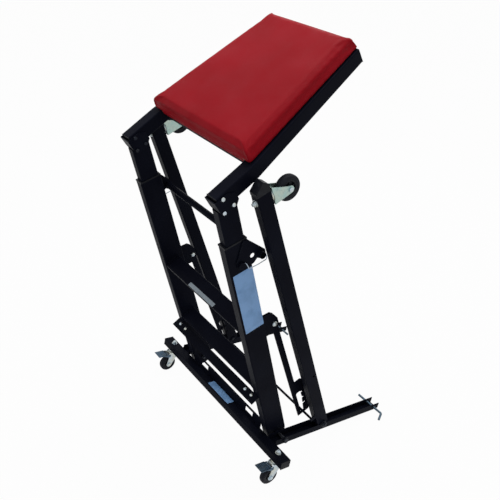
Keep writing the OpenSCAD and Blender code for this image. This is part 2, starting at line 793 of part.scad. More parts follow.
// Release bar: two cranked plates on studs, joined by a cross bar
module release_frame() {
    on_floor() at(release_pin_y, release_pin_z) children();
}
module release_pivots() {
    color(BLACK) release_frame() both() {
        rod_x(upright_outer_x, upright_outer_x + release_stud - stem_end, release_pin_r);
        rod_x(upright_outer_x + pass_gap * 2 + release_plate_t, upright_outer_x + release_stud,
              release_pin_r + stem_end);
    }
}
module release_bar() {
    color(BLACK) release_frame() at(release_arm.x, release_arm.y)
        difference() {
            rod_x(-release_bar_half, release_bar_half, release_r);
            rod_x(-release_bar_half - cut, release_bar_half + cut, release_r - release_wall);
        }
}
module release_plates() {
    color(BLACK) release_frame() both() difference() {
        plate_x(upright_outer_x + pass_gap, release_plate_t) {
            circle(r = release_back);
            polygon([[-release_back, 0], [-release_back, release_back],
                     [release_chin, release_top], [release_hole_y - stem_end, release_top - stem_end],
                     release_arm + [release_nose, stem_end], release_arm + [release_nose, -release_chin / 2],
                     release_arm + [0, -release_nose], [release_hole_y + release_back, -release_pin_r],
                     [release_hole_y, -release_chin + stem_end], [release_chin, -release_chin],
                     [0, -release_back]]);
        }
        rod_x(0, channel_outer_x, release_pin_r + run_fit);
        at(release_hole_y, release_hole_z) rod_x(upright_outer_x - cut, channel_inner_x, release_hole_r);
        at(release_arm.x, release_arm.y) rod_x(0, channel_outer_x, release_r);
    }
}
// A flat wire through Y-Z points, from x outwards, a little swollen at its bends
module wire(x, r, points) {
    plate_x(x, 2 * r) for (i = [0 : len(points) - 2]) {
        d = points[i + 1] - points[i];
        translate(points[i]) rotate(atan2(d.y, d.x)) translate([0, -r]) square([norm(d), 2 * r]);
        translate(points[i]) circle(r = r + spring_swell);
    }
}
module release_springs() {
    low_y = release_pin_r + release_hole_r;
    color(ZINC) release_frame() both()
        wire(upright_outer_x + pass_gap + release_plate_t, spring_r, [
            [spring_start_y + release_pin_r + stem_end, -spring_start_y],
            [low_y + stem_end, -release_hook_z], [release_hook_y, -release_hook_z],
            [release_hook_y + spring_r, release_hook_rise - release_hook_z]]);
}

// Telescoping inner uprights, cut at the top to the slope of the deck
module under_deck() {
    deck_frame() translate([0, 0, -rail_w - head_base_t]) children();
}
module inner_upright(s) {
    x0 = upright_mid_x - inner_w / 2;
    color(BLACK) difference() {
        on_floor() side(s) difference() {
            box([x0, -inner_d / 2, inner_bottom_z], [x0 + inner_w, inner_d / 2, deck_back_z]);
            box([x0 + inner_wall, -inner_d / 2 + inner_wall, inner_bottom_z - cut],
                [x0 + inner_w - inner_wall, inner_d / 2 - inner_wall, deck_back_z + cut]);
        }
        under_deck() box([-bar_l, -bar_l, 0], [bar_l, bar_l, bar_l]);
        head_bolt_holes(2);
    }
}
module inner_upright_left() { inner_upright(-1); }
module inner_upright_right() { inner_upright(1); }
function head_bolt_h(i) = i < 2 ? -head_bolt_low : -head_bolt_high;
module head_bolt_holes(count) {
    for (i = [0 : count - 1]) deck_frame() at(head_bolt_s[i], head_bolt_h(i))
        rod_x(-bar_l, bar_l, head_bolt_r + bolt_fit);
}
// Head bracket: a saddle on each inner upright that holds a rail's back end
module head_bracket_side() {
    polygon([[-head_gap - head_t, -head_top - head_strap_h], [-head_gap, -rail_w - head_bottom],
             [head_front - head_bottom, -rail_w - head_bottom], [head_front, -rail_w - head_base_t],
             [head_front, -rail_w / 2], [head_front - head_bottom, -head_top],
             [-head_gap - head_t, -head_top]]);
}
module head_brackets() {
    x_in = upright_mid_x - inner_w / 2;
    x_out = upright_mid_x + inner_w / 2;
    color(BLACK) difference() {
        deck_frame() both() {
            plate_x(rail_outer_x, head_t) head_bracket_side();
            plate_x(rail_inner_x - head_t, head_t) head_bracket_side();
            box([rail_inner_x, -head_gap, -rail_w - head_base_t], [rail_outer_x, head_front, -rail_w]);
            box([rail_inner_x, -head_gap - head_t, -head_top - head_strap_h],
                [rail_outer_x, -head_gap, -head_top]);
            for (i = [0, 1]) at(head_bolt_s[i], -head_bolt_low) {
                rod_x(rail_inner_x - cut, x_in, small_bolt_r + small_head_h / 2);
                rod_x(x_out, rail_outer_x + cut, small_bolt_r + small_head_h / 2);
            }
        }
        head_bolt_holes(3);
    }
}
module head_bolts() {
    color(ZINC) deck_frame() both() for (i = [0 : 2]) at(head_bolt_s[i], head_bolt_h(i)) {
        rod_x(rail_inner_x - head_t - small_head_h, rail_outer_x + head_t, head_bolt_r);
        domed_x(rail_outer_x + head_t, small_head_r, small_head_h);
        hex_x(rail_inner_x - head_t - small_head_h, small_head_h, small_head_r);
    }
}

// Deck rails in plan: straight at the back, turned in beyond the bend
function rail_x(x, s) = s <= rail_bend_s ? x : x - (s - rail_bend_s) * tan(rail_turn);
module rail_plan(x_out, x_in, s0, s1) {
    polygon([[x_in, s0], [x_out, s0], [x_out, rail_bend_s], [rail_x(x_out, s1), s1],
             [rail_x(x_in, s1), s1], [x_in, rail_bend_s]]);
}
module deck_rail(s) {
    color(BLACK) difference() {
        deck_frame() side(s) difference() {
            translate([0, 0, -rail_w]) linear_extrude(rail_w)
                rail_plan(rail_outer_x, rail_inner_x, 0, rail_l);
            translate([0, 0, rail_wall - rail_w]) linear_extrude(rail_w - 2 * rail_wall)
                rail_plan(rail_outer_x - rail_wall, rail_inner_x + rail_wall, -cut, rail_l + cut);
        }
        deck_frame() at(head_bolt_s[2], -head_bolt_high)
            rod_x(-bar_l, bar_l, head_bolt_r + bolt_fit);
    }
}
module deck_rail_left() { deck_rail(-1); }
module deck_rail_right() { deck_rail(1); }
module rail_caps() {
    in_w = rail_wall + rail_cap_fit;
    color(RUBBER) deck_frame() both() {
        box([rail_inner_x, -rail_cap_t, -rail_w], [rail_outer_x, 0, 0]);
        box([rail_inner_x + in_w, 0, in_w - rail_w], [rail_outer_x - in_w, rail_cap_depth, -in_w]);
        translate([0, 0, -rail_w]) linear_extrude(rail_w)
            rail_plan_end(rail_outer_x, rail_inner_x, rail_l, rail_l + rail_cap_t);
        translate([0, 0, in_w - rail_w]) linear_extrude(rail_w - 2 * in_w)
            rail_plan_end(rail_outer_x - in_w, rail_inner_x + in_w, rail_l - rail_cap_depth, rail_l);
    }
}
module rail_plan_end(x_out, x_in, s0, s1) {
    polygon([[rail_x(x_in, s0), s0], [rail_x(x_out, s0), s0],
             [rail_x(x_out, s1), s1], [rail_x(x_in, s1), s1]]);
}
// A plate or bar between the rails, from s0 to s1
module between_rails(s0, s1, gap) {
    polygon([for (e = [[1, s0], [1, s1], [-1, s1], [-1, s0]])
        [e.x * (rail_x(rail_inner_x, e.y) - gap), e.y]]);
}
module deck_cross_members() {
    color(BLACK) deck_frame() for (s = member_s)
        translate([0, 0, -board_t - member_w]) difference() {
            linear_extrude(member_w) between_rails(s - member_w / 2, s + member_w / 2, 0);
            box([-rail_outer_x, s - member_w / 2 + rail_wall, rail_wall],
                [rail_outer_x, s + member_w / 2 - rail_wall, member_w - rail_wall]);
        }
}
module deck_board() {
    color(PLY) deck_frame() translate([0, 0, -board_t]) linear_extrude(board_t)
        between_rails(board_start, board_end, board_gap);
}

// Cushion: a padded slab with round corners, drawn-in sides and a crowned top.
// Each rim point is a place in plan and the outward direction there.
cushion_end_s = cushion_start_s + cushion_l;
cushion_mid = [0, (cushion_start_s + cushion_end_s) / 2];
cushion_taper = atan((cushion_back_half - cushion_front_half) / cushion_l);
function corner_arc(c, a0, a1) = [for (i = [0 : corner_steps])
    let (a = a0 + (a1 - a0) * i / corner_steps)
    [c + cushion_corner_r * [cos(a), sin(a)], [cos(a), sin(a)]]];
function side_run(p, q, dir) = [for (i = [1 : side_steps - 1])
    let (t = i / side_steps)
    [p + (q - p) * t - dir * cushion_draw * sin(180 * t), dir]];
cushion_back_c = [cushion_back_half - cushion_corner_r * (1 + sin(cushion_taper)),
                  cushion_start_s + cushion_corner_r];
cushion_front_c = [cushion_front_half - cushion_corner_r * (1 - sin(cushion_taper)),
                   cushion_end_s - cushion_corner_r];
function flipped(c) = [-c.x, c.y];
arc_a = corner_arc(cushion_back_c, -90, cushion_taper);
arc_b = corner_arc(cushion_front_c, cushion_taper, 90);
arc_c = corner_arc(flipped(cushion_front_c), 90, 180 - cushion_taper);
arc_d = corner_arc(flipped(cushion_back_c), 180 - cushion_taper, 270);
function last_of(a) = a[len(a) - 1];
cushion_rim = concat(
    arc_a, side_run(last_of(arc_a)[0], arc_b[0][0], arc_b[0][1]),
    arc_b, side_run(last_of(arc_b)[0], arc_c[0][0], arc_c[0][1]),
    arc_c, side_run(last_of(arc_c)[0], arc_d[0][0], arc_d[0][1]),
    arc_d, side_run(last_of(arc_d)[0], arc_a[0][0], arc_a[0][1]));
function side_ring(k) = [for (p = cushion_rim)
    let (q = p[0] - p[1] * cushion_insets[k])
    [q.x, q.y, pass_gap + cushion_shares[k] * cushion_side_h]];
function crown_ring(k) = [for (p = side_ring(len(cushion_shares) - 1))
    let (q = cushion_mid + ([p.x, p.y] - cushion_mid) * crown_shares[k])
    [q.x, q.y, pass_gap + cushion_side_h + cushion_crown * (1 - crown_shares[k] * crown_shares[k])]];
module cushion() {
    n = len(cushion_rim);
    rings = concat([for (k = [0 : len(cushion_shares) - 1]) side_ring(k)],
                   [for (k = [0 : len(crown_shares) - 1]) crown_ring(k)]);
    m = len(rings);
    points = concat([for (r = rings) each r],
        [[cushion_mid.x, cushion_mid.y, pass_gap],
         [cushion_mid.x, cushion_mid.y, pass_gap + cushion_side_h + cushion_crown]]);
    walls = [for (k = [0 : m - 2]) for (i = [0 : n - 1]) let (j = (i + 1) % n)
        each [[k * n + i, (k + 1) * n + i, (k + 1) * n + j], [k * n + i, (k + 1) * n + j, k * n + j]]];
    floor_fan = [for (i = [0 : n - 1]) [m * n, i, (i + 1) % n]];
    crown_fan = [for (i = [0 : n - 1]) [m * n + 1, (m - 1) * n + (i + 1) % n, (m - 1) * n + i]];
    color(RED) deck_frame() polyhedron(points, concat(walls, floor_fan, crown_fan));
}

// Struts: a flat bar from the ladder, with a slotted hook plate over the rod
module strut_outline() {
    half = strut_w / 2;
    circle(r = half);
    polygon([[half, 0], [-half, 0], [-half, -plate_end], [plate_front - plate_corner, -plate_end],
             [plate_front, -plate_end + plate_corner], [plate_front, -plate_start - plate_corner],
             [plate_front - plate_corner, -plate_start], [half, -plate_start]]);
}
// The slot is widest where the rod swings furthest forwards
module strut_slot() {
    back = slot_back + slot_round;
    top = -slot_start - slot_round;
    low = -slot_end + slot_round;
    polygon([[slot_back, low], [slot_back, top], [back, -slot_start],
             [slot_front - slot_round, -slot_start], [slot_front, top], [slot_front, -slot_taper],
             [back + slot_round, low]]);
    for (p = [[back, top], [slot_front - slot_round, top], [back, low]]) translate(p) circle(r = slot_round);
    for (d = notch_at) translate([back, -d]) rotate(notch_tilt) {
        translate([0, -notch_h / 2]) square([notch_reach, notch_h]);
        translate([notch_reach, 0]) circle(d = notch_h);
    }
}
module strut(s) {
    color(BLACK) strut_frame() side(s) difference() {
        plate_x(strut_x, strut_t) difference() {
            strut_outline();
            strut_slot();
        }
        rod_x(strut_x - cut, strut_x + strut_t + cut, strut_bolt_r + run_fit);
    }
}
module strut_left() { strut(-1); }
module strut_right() { strut(1); }

// Locking pins: bent rods that hold the unfolded legs in the channels
module lock_pin(s) {
    x1 = channel_outer_x + lock_pin_out;
    color(ZINC) base_frame() side(s) at(lock_pin_s, 0) {
        rod_x(channel_inner_x - lock_pin_in, x1, lock_pin_r);
        translate([x1, 0, 0]) sphere(r = lock_pin_r);
        translate([x1, 0, -lock_pin_bend]) cylinder(h = lock_pin_bend, r = lock_pin_r);
    }
}
module lock_pin_left() { lock_pin(-1); }
module lock_pin_right() { lock_pin(1); }

caster_bar();
caster_bar_plugs();
foot_plate();
channel_left();
channel_right();
foot_bolts();
foot_spacers();
leg_pivot_bolts();
pivot_nuts();
rear_caster_stems();
rear_caster_nuts();
rear_fork_left();
rear_fork_right();
rear_axle_left();
rear_axle_right();
rear_wheel_left();
rear_wheel_right();
brake_pedal_left();
brake_pedal_right();
leg_left();
leg_right();
leg_caps();
hook_rod();
leg_caster_stems();
leg_caster_nuts();
leg_fork_left();
leg_fork_right();
leg_axle_left();
leg_axle_right();
leg_tyre_left();
leg_tyre_right();
leg_hub_left();
leg_hub_right();
outer_upright_left();
outer_upright_right();
tread_upper();
tread_lower();
kick_plate();
kick_plate_bolts();
strut_brackets();
strut_bolts();
guide_collars();
release_pivots();
release_bar();
release_plates();
release_springs();
inner_upright_left();
inner_upright_right();
head_brackets();
head_bolts();
deck_rail_left();
deck_rail_right();
rail_caps();
deck_cross_members();
deck_board();
cushion();
strut_left();
strut_right();
lock_pin_left();
lock_pin_right();
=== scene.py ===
"""Looks of a folding topside creeper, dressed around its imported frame.

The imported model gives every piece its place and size. Formed steel is finished
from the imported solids, with rolled bends and softened edges. Fasteners, casters,
wires, weld beads, blank plates and the cushion are modelled here. All lengths
are in metres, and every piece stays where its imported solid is.
"""
import json
import logging
import math
from dataclasses import dataclass
from enum import Enum
from typing import Iterable, Sequence

import bmesh
import bpy
from mathutils import Matrix, Vector


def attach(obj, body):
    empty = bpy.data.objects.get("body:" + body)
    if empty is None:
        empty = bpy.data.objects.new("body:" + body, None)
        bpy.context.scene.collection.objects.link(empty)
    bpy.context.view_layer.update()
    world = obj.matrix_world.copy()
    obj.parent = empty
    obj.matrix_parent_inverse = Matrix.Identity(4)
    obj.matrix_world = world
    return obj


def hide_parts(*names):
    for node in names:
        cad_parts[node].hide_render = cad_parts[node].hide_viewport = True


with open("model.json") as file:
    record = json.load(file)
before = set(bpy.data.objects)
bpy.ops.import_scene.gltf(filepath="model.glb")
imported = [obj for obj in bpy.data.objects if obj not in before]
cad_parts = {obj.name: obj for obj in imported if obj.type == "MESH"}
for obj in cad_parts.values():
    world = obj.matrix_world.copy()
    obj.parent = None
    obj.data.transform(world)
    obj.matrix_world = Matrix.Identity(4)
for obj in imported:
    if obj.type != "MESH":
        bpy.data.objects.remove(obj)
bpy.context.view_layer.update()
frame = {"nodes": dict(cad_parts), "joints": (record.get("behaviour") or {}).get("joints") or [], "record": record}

LOG = logging.getLogger("creeper")
JOINTS = {row["name"]: row for row in frame["joints"]}
BODY_OF = {node: body for body, nodes in frame["record"]["behaviour"]["bodies"].items() for node in nodes}
SLOT_OF = {row["node"]: row["material_slot"] for row in frame["record"]["subparts"]}
TINY = 1e-9
MERGE = 2e-5
CLOSE = 1e-6
FLAT_DEG = 0.5


class Side(Enum):
    """The two sides of the stand, and the sign of X there."""

    LEFT = -1
    RIGHT = 1

    @property
    def word(self) -> str:
        """The side's name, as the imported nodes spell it."""
        return self.name.lower()


@dataclass(frozen=True)
class Place:
    """A sub-assembly's own frame: X stays across the stand, Y and Z turn about it.

    Attributes:
        origin: Where the frame's origin lies.
        turn: Angle about +X, in radians.
    """

    origin: Vector
    turn: float

    @property
    def matrix(self) -> Matrix:
        """The frame as a matrix."""
        return Matrix.Translation(self.origin) @ Matrix.Rotation(self.turn, 4, "X")

    def point(self, x: float, y: float, z: float) -> Vector:
        """A point of this frame, in the stand's own frame."""
        return self.matrix @ Vector((x, y, z))

    def way(self, x: float, y: float, z: float) -> Vector:
        """A direction of this frame, in the stand's own frame."""
        return self.matrix.to_3x3() @ Vector((x, y, z))


def joint_point(name: str) -> Vector:
    """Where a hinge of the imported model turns."""
    return Vector(JOINTS[name]["pos_m"])


def turn_of_up(axis: Sequence[float]) -> float:
    """Angle about +X of a frame whose Z axis points along axis."""
    return math.atan2(-axis[1], axis[2])


def turn_of_forward(axis: Sequence[float]) -> float:
    """Angle about +X of a frame whose Y axis points along axis."""
    return math.atan2(axis[2], axis[1])


DECK_SLOPE = math.radians(16.9)
LADDER = Place(joint_point("ladder_tilt"), turn_of_up(JOINTS["deck_lift"]["axis"]))
BASE = Place(joint_point("ladder_tilt"), turn_of_up(JOINTS["rear_swivel_right"]["axis"]))
LEGS = Place(joint_point("leg_fold"), turn_of_forward(JOINTS["leg_swivel_right"]["axis"]))
RELEASE = Place(joint_point("release_lift"), LADDER.turn)
DECK = Place(LADDER.origin, LADDER.turn + DECK_SLOPE)
FLOOR = Place(Vector((0, 0, 0)), 0.0)
LEVEL = Place(FLOOR.origin, DECK.turn)


@dataclass(frozen=True)
class Block:
    """Lowest and highest corner of something, in some frame."""

    low: Vector
    high: Vector

    @property
    def middle(self) -> Vector:
        """The block's centre."""
        return (self.low + self.high) / 2

    @property
    def size(self) -> Vector:
        """The block's three sides."""
        return self.high - self.low


def block_of(points: Iterable[Vector]) -> Block:
    """The block that holds the points."""
    listed = list(points)
    low = Vector(min(p[i] for p in listed) for i in range(3))
    high = Vector(max(p[i] for p in listed) for i in range(3))
    return Block(low, high)


def extent(node: str, place: Place = FLOOR) -> Block:
    """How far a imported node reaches, measured in a frame."""
    inward = place.matrix.inverted()
    return block_of(inward @ v.co for v in frame["nodes"][node].data.vertices)


def front_half(node: str, within: float = 0.014) -> float:
    """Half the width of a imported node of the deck, within a distance of its front edge."""
    inward = DECK.matrix.inverted()
    bm = merged_copy(node)
    points = [inward @ v.co for v in bm.verts]
    bm.free()
    front = max(p.y for p in points)
    return max(abs(p.x) for p in points if p.y > front - within)


def merged_copy(node: str) -> bmesh.types.BMesh:
    """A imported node's mesh with its loose triangles joined and its flat faces whole."""
    bm = bmesh.new()
    bm.from_mesh(frame["nodes"][node].data)
    bmesh.ops.remove_doubles(bm, verts=bm.verts, dist=MERGE)
    bmesh.ops.dissolve_limit(bm, angle_limit=math.radians(FLAT_DEG), verts=bm.verts, edges=bm.edges)
    return bm


def solids_of(node: str, place: Place = FLOOR) -> list[Block]:
    """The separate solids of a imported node, each as a block in a frame."""
    bm = merged_copy(node)
    inward = place.matrix.inverted()
    left = set(bm.verts)
    found = []
    while left:
        stack = [left.pop()]
        group = []
        while stack:
            vert = stack.pop()
            group.append(inward @ vert.co)
            for edge in vert.link_edges:
                other = edge.other_vert(vert)
                if other in left:
                    left.remove(other)
                    stack.append(other)
        found.append(block_of(group))
    bm.free()
    return sorted(found, key=lambda b: tuple(round(c, 4) for c in b.middle))


class NodeWriter:
    """Adds nodes to one node tree and feeds their inputs."""

    def __init__(self, tree: bpy.types.NodeTree) -> None:
        """Starts on a tree."""
        self.tree = tree

    def join(self, value: object, socket: bpy.types.NodeSocket) -> None:
        """Feeds an input from another node's output, or with a value or a colour."""
        if isinstance(value, bpy.types.NodeSocket):
            self.tree.links.new(value, socket)
        elif socket.type == "RGBA":
            socket.default_value = (*value[:3], 1.0)
        else:
            socket.default_value = value

    def add(self, kind: str, inputs: dict | None = None, **settings: object) -> bpy.types.Node:
        """Adds a node, sets it up and feeds its inputs.

        Args:
            kind: The node's type name.
            inputs: Values or sockets for the inputs, by name or number.
            **settings: The node's own settings.

        Returns:
            The new node.
        """
        node = self.tree.nodes.new(kind)
        for key, value in settings.items():
            setattr(node, key, value)
        for key, value in (inputs or {}).items():
            self.join(value, node.inputs[key])
        return node

    def maths(self, operation: str, a: object, b: object = 0.0) -> bpy.types.NodeSocket:
        """One sum on two values."""
        return self.add("ShaderNodeMath", {0: a, 1: b}, operation=operation).outputs[0]

    def seen(self) -> bpy.types.NodeSocket:
        """One for rays from the camera, off gloss or through glass, and zero for the rest."""
        path = self.add("ShaderNodeLightPath").outputs
        straight = self.maths("MAXIMUM", path["Is Camera Ray"], path["Is Glossy Ray"])
        return self.maths("MAXIMUM", straight, path["Is Transmission Ray"])


class Shader(NodeWriter):
    """Writes the node tree of one material, a node at a time."""

    def __init__(self, name: str) -> None:
        """Starts a material with a Principled surface."""
        self.material = bpy.data.materials.new(name)
        self.material.use_nodes = True
        super().__init__(self.material.node_tree)
        self.tree.nodes.clear()
        self.surface = self.add("ShaderNodeBsdfPrincipled")
        self.out = self.add("ShaderNodeOutputMaterial", {"Surface": self.surface.outputs[0]})
        self.place = self.add("ShaderNodeTexCoord").outputs["Object"]

    def noise(self, scale: float, detail: float = 3.0,
              stretch: Sequence[float] = (1, 1, 1)) -> bpy.types.NodeSocket:
        """A noise value over the piece, from 0 to 1.

        Args:
            scale: Cells per metre.
            detail: Octaves.
            stretch: Scale along each axis, for streaks.

        Returns:
            The value's socket.
        """
        at = self.add("ShaderNodeMapping", {"Vector": self.place, "Scale": stretch}).outputs[0]
        return self.add("ShaderNodeTexNoise", {"Vector": at, "Scale": scale, "Detail": detail}).outputs["Fac"]

    def between(self, value: bpy.types.NodeSocket, low: float, high: float,
                to_low: float = 0.0, to_high: float = 1.0) -> bpy.types.NodeSocket:
        """Maps a value from one range to another, clamped."""
        keys = {"Value": value, "From Min": low, "From Max": high, "To Min": to_low, "To Max": to_high}
        return self.add("ShaderNodeMapRange", keys).outputs[0]

    def wander(self, noise: bpy.types.NodeSocket, low: float, high: float) -> bpy.types.NodeSocket:
        """Spreads the middle of a noise over a range, clamped."""
        return self.between(noise, 0.3, 0.7, low, high)

    def blend(self, share: bpy.types.NodeSocket, a: object, b: object) -> bpy.types.NodeSocket:
        """Mixes two colours, each a socket or three numbers, by a share."""
        return self.add("ShaderNodeMix", {0: share, 6: a, 7: b}, data_type="RGBA").outputs[2]

    def relief(self, height: bpy.types.NodeSocket, depth: float,
               under: bpy.types.NodeSocket | None = None) -> bpy.types.NodeSocket:
        """A bump of a real depth in metres, over another one if given."""
        inputs = {"Height": height, "Distance": depth, "Strength": 1.0}
        if under is not None:
            inputs["Normal"] = under
        return self.add("ShaderNodeBump", inputs).outputs[0]

    def feed(self, **inputs: object) -> None:
        """Feeds the Principled surface, with underscores for spaces in the names."""
        for key, value in inputs.items():
            self.join(value, self.surface.inputs[key.replace("_", " ")])


@dataclass(frozen=True)
class PowderCoat:
    """Satin black powder coat: orange-peel skin, faint dust, rubbed edges.

    Attributes:
        deep: Colour of the coat.
        dusty: Colour where dust has settled.
        bare: Colour of rubbed edges.
        peel: Size of the orange peel, in cells per metre.
    """

    deep: tuple[float, float, float] = (0.0044, 0.0050, 0.0100)
    dusty: tuple[float, float, float] = (0.0064, 0.0076, 0.0146)
    bare: tuple[float, float, float] = (0.040, 0.045, 0.058)
    peel: float = 420.0

    def make(self) -> bpy.types.Material:
        """Builds the material."""
        s = Shader("black_powder_coat")
        cloud = s.between(s.noise(6, 5), 0.42, 0.68)
        speck = s.between(s.noise(900, 2), 0.60, 0.72, 0.0, 0.35)
        colour = s.blend(s.maths("MAXIMUM", cloud, speck), self.deep, self.dusty)
        worn = s.add("ShaderNodeAttribute", attribute_name="worn").outputs["Fac"]
        chips = s.maths("MULTIPLY", worn, s.between(s.noise(55, 4), 0.50, 0.62, 0.0, 0.7))
        s.feed(Base_Color=s.blend(chips, colour, self.bare),
               Roughness=s.between(s.noise(14, 4), 0.3, 0.75, 0.34, 0.46),
               Normal=s.relief(s.noise(self.peel, 2), 0.00010), Specular_IOR_Level=0.020)
        return s.material


@dataclass(frozen=True)
class ZincPlate:
    """Bright zinc plate with a faint blue and straw cast.

    Attributes:
        name: The material's name.
        cool: Main colour.
        straw: Colour of the passivated patches.
        gloss: Lowest roughness.
        soiled: Colour of the grime.
    """

    name: str = "zinc_plate"
    cool: tuple[float, float, float] = (0.50, 0.58, 0.64)
    straw: tuple[float, float, float] = (0.56, 0.57, 0.50)
    gloss: float = 0.28
    soiled: tuple[float, float, float] = (0.20, 0.22, 0.24)

    def make(self) -> bpy.types.Material:
        """Builds the material."""
        s = Shader(self.name)
        colour = s.blend(s.between(s.noise(38, 4), 0.40, 0.65), self.cool, self.straw)
        grime = s.between(s.noise(120, 5), 0.56, 0.74, 0.0, 0.45)
        s.feed(Base_Color=s.blend(grime, colour, self.soiled), Metallic=0.92,
               Roughness=s.wander(s.noise(60, 4, (1, 1, 6)), self.gloss, self.gloss + 0.22),
               Normal=s.relief(s.noise(700, 3), 0.00004))
        return s.material


@dataclass(frozen=True)
class Rubber:
    """Black rubber with a dusty, scuffed running face.

    Attributes:
        name: The material's name.
        black: Colour of clean rubber.
        scuffed: Colour where it is scuffed.
        rough: Lowest roughness.
    """

    name: str = "black_rubber"
    black: tuple[float, float, float] = (0.0045, 0.0052, 0.0095)
    scuffed: tuple[float, float, float] = (0.016, 0.018, 0.024)
    rough: float = 0.48

    def make(self) -> bpy.types.Material:
        """Builds the material."""
        s = Shader(self.name)
        scuff = s.between(s.noise(45, 6), 0.50, 0.70)
        s.feed(Base_Color=s.blend(scuff, self.black, self.scuffed),
               Roughness=s.wander(s.noise(45, 6), self.rough, self.rough + 0.25),
               Normal=s.relief(s.noise(1400, 3), 0.00006), Specular_IOR_Level=0.14)
        return s.material


@dataclass(frozen=True)
class MouldedPlastic:
    """Black moulded plastic with a spark-eroded grain.

    Attributes:
        black: Main colour.
        pale: Colour of the rubbed grain.
    """

    black: tuple[float, float, float] = (0.0045, 0.0052, 0.0085)
    pale: tuple[float, float, float] = (0.014, 0.016, 0.021)

    def make(self) -> bpy.types.Material:
        """Builds the material."""
        s = Shader("black_moulded_plastic")
        grain = s.add("ShaderNodeTexVoronoi", {"Vector": s.place, "Scale": 1500.0}).outputs["Distance"]
        s.feed(Base_Color=s.blend(s.between(s.noise(70, 5), 0.5, 0.75), self.black, self.pale),
               Roughness=s.wander(s.noise(30, 3), 0.40, 0.55),
               Normal=s.relief(grain, 0.00008), Specular_IOR_Level=0.14)
        return s.material


@dataclass(frozen=True)
class Vinyl:
    """Red upholstery vinyl: embossed leather grain over soft foam, with painted shade in the grain's creases.

    Attributes:
        red: Main colour.
        dark: Colour of the painted shade in the grain's creases.
        rubbed: Colour where it is polished by use.
        grain: Cells of the embossing per metre.
    """

    red: tuple[float, float, float] = (0.305, 0.0030, 0.0095)
    dark: tuple[float, float, float] = (0.160, 0.0012, 0.0045)
    rubbed: tuple[float, float, float] = (0.345, 0.0048, 0.0130)
    grain: float = 520.0

    def make(self) -> bpy.types.Material:
        """Builds the material."""
        s = Shader("red_vinyl")
        warp = s.add("ShaderNodeTexNoise", {"Vector": s.place, "Scale": 160.0, "Detail": 3.0})
        offset = s.add("ShaderNodeVectorMath", {0: warp.outputs["Color"], "Scale": 0.0035},
                       operation="SCALE").outputs[0]
        bent = s.add("ShaderNodeVectorMath", {0: s.place, 1: offset}, operation="ADD").outputs[0]
        cells = s.add("ShaderNodeTexVoronoi", {"Vector": bent, "Scale": self.grain},
                      feature="DISTANCE_TO_EDGE").outputs["Distance"]
        crease = s.between(cells, 0.0, 0.16)
        cloud = s.between(s.noise(5, 5), 0.40, 0.66)
        colour = s.blend(cloud, self.red, self.rubbed)
        soft = s.relief(s.noise(22, 4), 0.0009)
        # Painted shade: the red turns deeper towards the grain's crease lines.
        s.feed(Base_Color=s.blend(s.between(cells, 0.0, 0.10, 0.45, 0.0), colour, self.dark),
               Roughness=s.wander(s.noise(11, 5), 0.44, 0.58),
               Normal=s.relief(crease, 0.00016, soft), Specular_IOR_Level=0.07)
        return s.material


@dataclass(frozen=True)
class Plywood:
    """Plain birch plywood with grain along the deck.

    Attributes:
        pale: Early wood.
        brown: Late wood.
    """

    pale: tuple[float, float, float] = (0.46, 0.31, 0.17)
    brown: tuple[float, float, float] = (0.30, 0.18, 0.09)

    def make(self) -> bpy.types.Material:
        """Builds the material."""
        s = Shader("birch_plywood")
        grain = s.noise(18, 6, (6, 0.5, 6))
        fibre = s.noise(260, 3, (1, 0.06, 1))
        colour = s.blend(s.between(grain, 0.35, 0.65), self.pale, self.brown)
        s.feed(Base_Color=s.blend(s.between(fibre, 0.5, 0.75, 0.0, 0.5), colour, self.brown),
               Roughness=s.wander(fibre, 0.55, 0.75), Normal=s.relief(fibre, 0.0002))
        return s.material


@dataclass(frozen=True)
class BlankPlate:
    """A blank, pale laminated plate, slightly cockled and scuffed.

    Attributes:
        name: The material's name.
        face: Colour of the face.
        grubby: Colour of the scuffs.
    """

    name: str = "blank_plate"
    face: tuple[float, float, float] = (0.24, 0.46, 0.82)
    grubby: tuple[float, float, float] = (0.16, 0.34, 0.64)

    def make(self) -> bpy.types.Material:
        """Builds the material."""
        s = Shader(self.name)
        scuff = s.between(s.noise(24, 6), 0.45, 0.72)
        s.feed(Base_Color=s.blend(scuff, self.face, self.grubby),
               Roughness=s.wander(s.noise(16, 4), 0.32, 0.48),
               Normal=s.relief(s.noise(70, 3), 0.00025))
        return s.material


class Finishes:
    """Every finish of the stand, made once."""

    def __init__(self) -> None:
        """Builds the materials."""
        self.coat = PowderCoat().make()
        self.zinc = ZincPlate().make()
        self.wire = ZincPlate("spring_wire", (0.42, 0.50, 0.58), (0.46, 0.49, 0.50), 0.22).make()
        self.blued = ZincPlate("blued_steel", (0.016, 0.019, 0.028), (0.026, 0.028, 0.034), 0.38).make()
        self.slate = ZincPlate("slate_steel", (0.070, 0.115, 0.160), (0.085, 0.115, 0.140), 0.34).make()
        self.pedal = ZincPlate("pedal_steel", (0.060, 0.105, 0.160), (0.080, 0.110, 0.140), 0.36).make()
        self.pale = ZincPlate("pale_steel", (0.36, 0.50, 0.47), (0.44, 0.52, 0.46), 0.30).make()
        self.rubber = Rubber().make()
        self.plastic = MouldedPlastic().make()
        self.vinyl = Vinyl().make()
        self.ply = Plywood().make()
        self.plate = BlankPlate().make()
        self.strip = BlankPlate("grip_strip", (0.30, 0.36, 0.41), (0.20, 0.25, 0.29)).make()
        self.of_slot = {"black_steel": self.coat, "zinc": self.zinc, "rubber": self.rubber,
                        "black_plastic": self.plastic, "red_vinyl": self.vinyl, "plywood": self.ply}


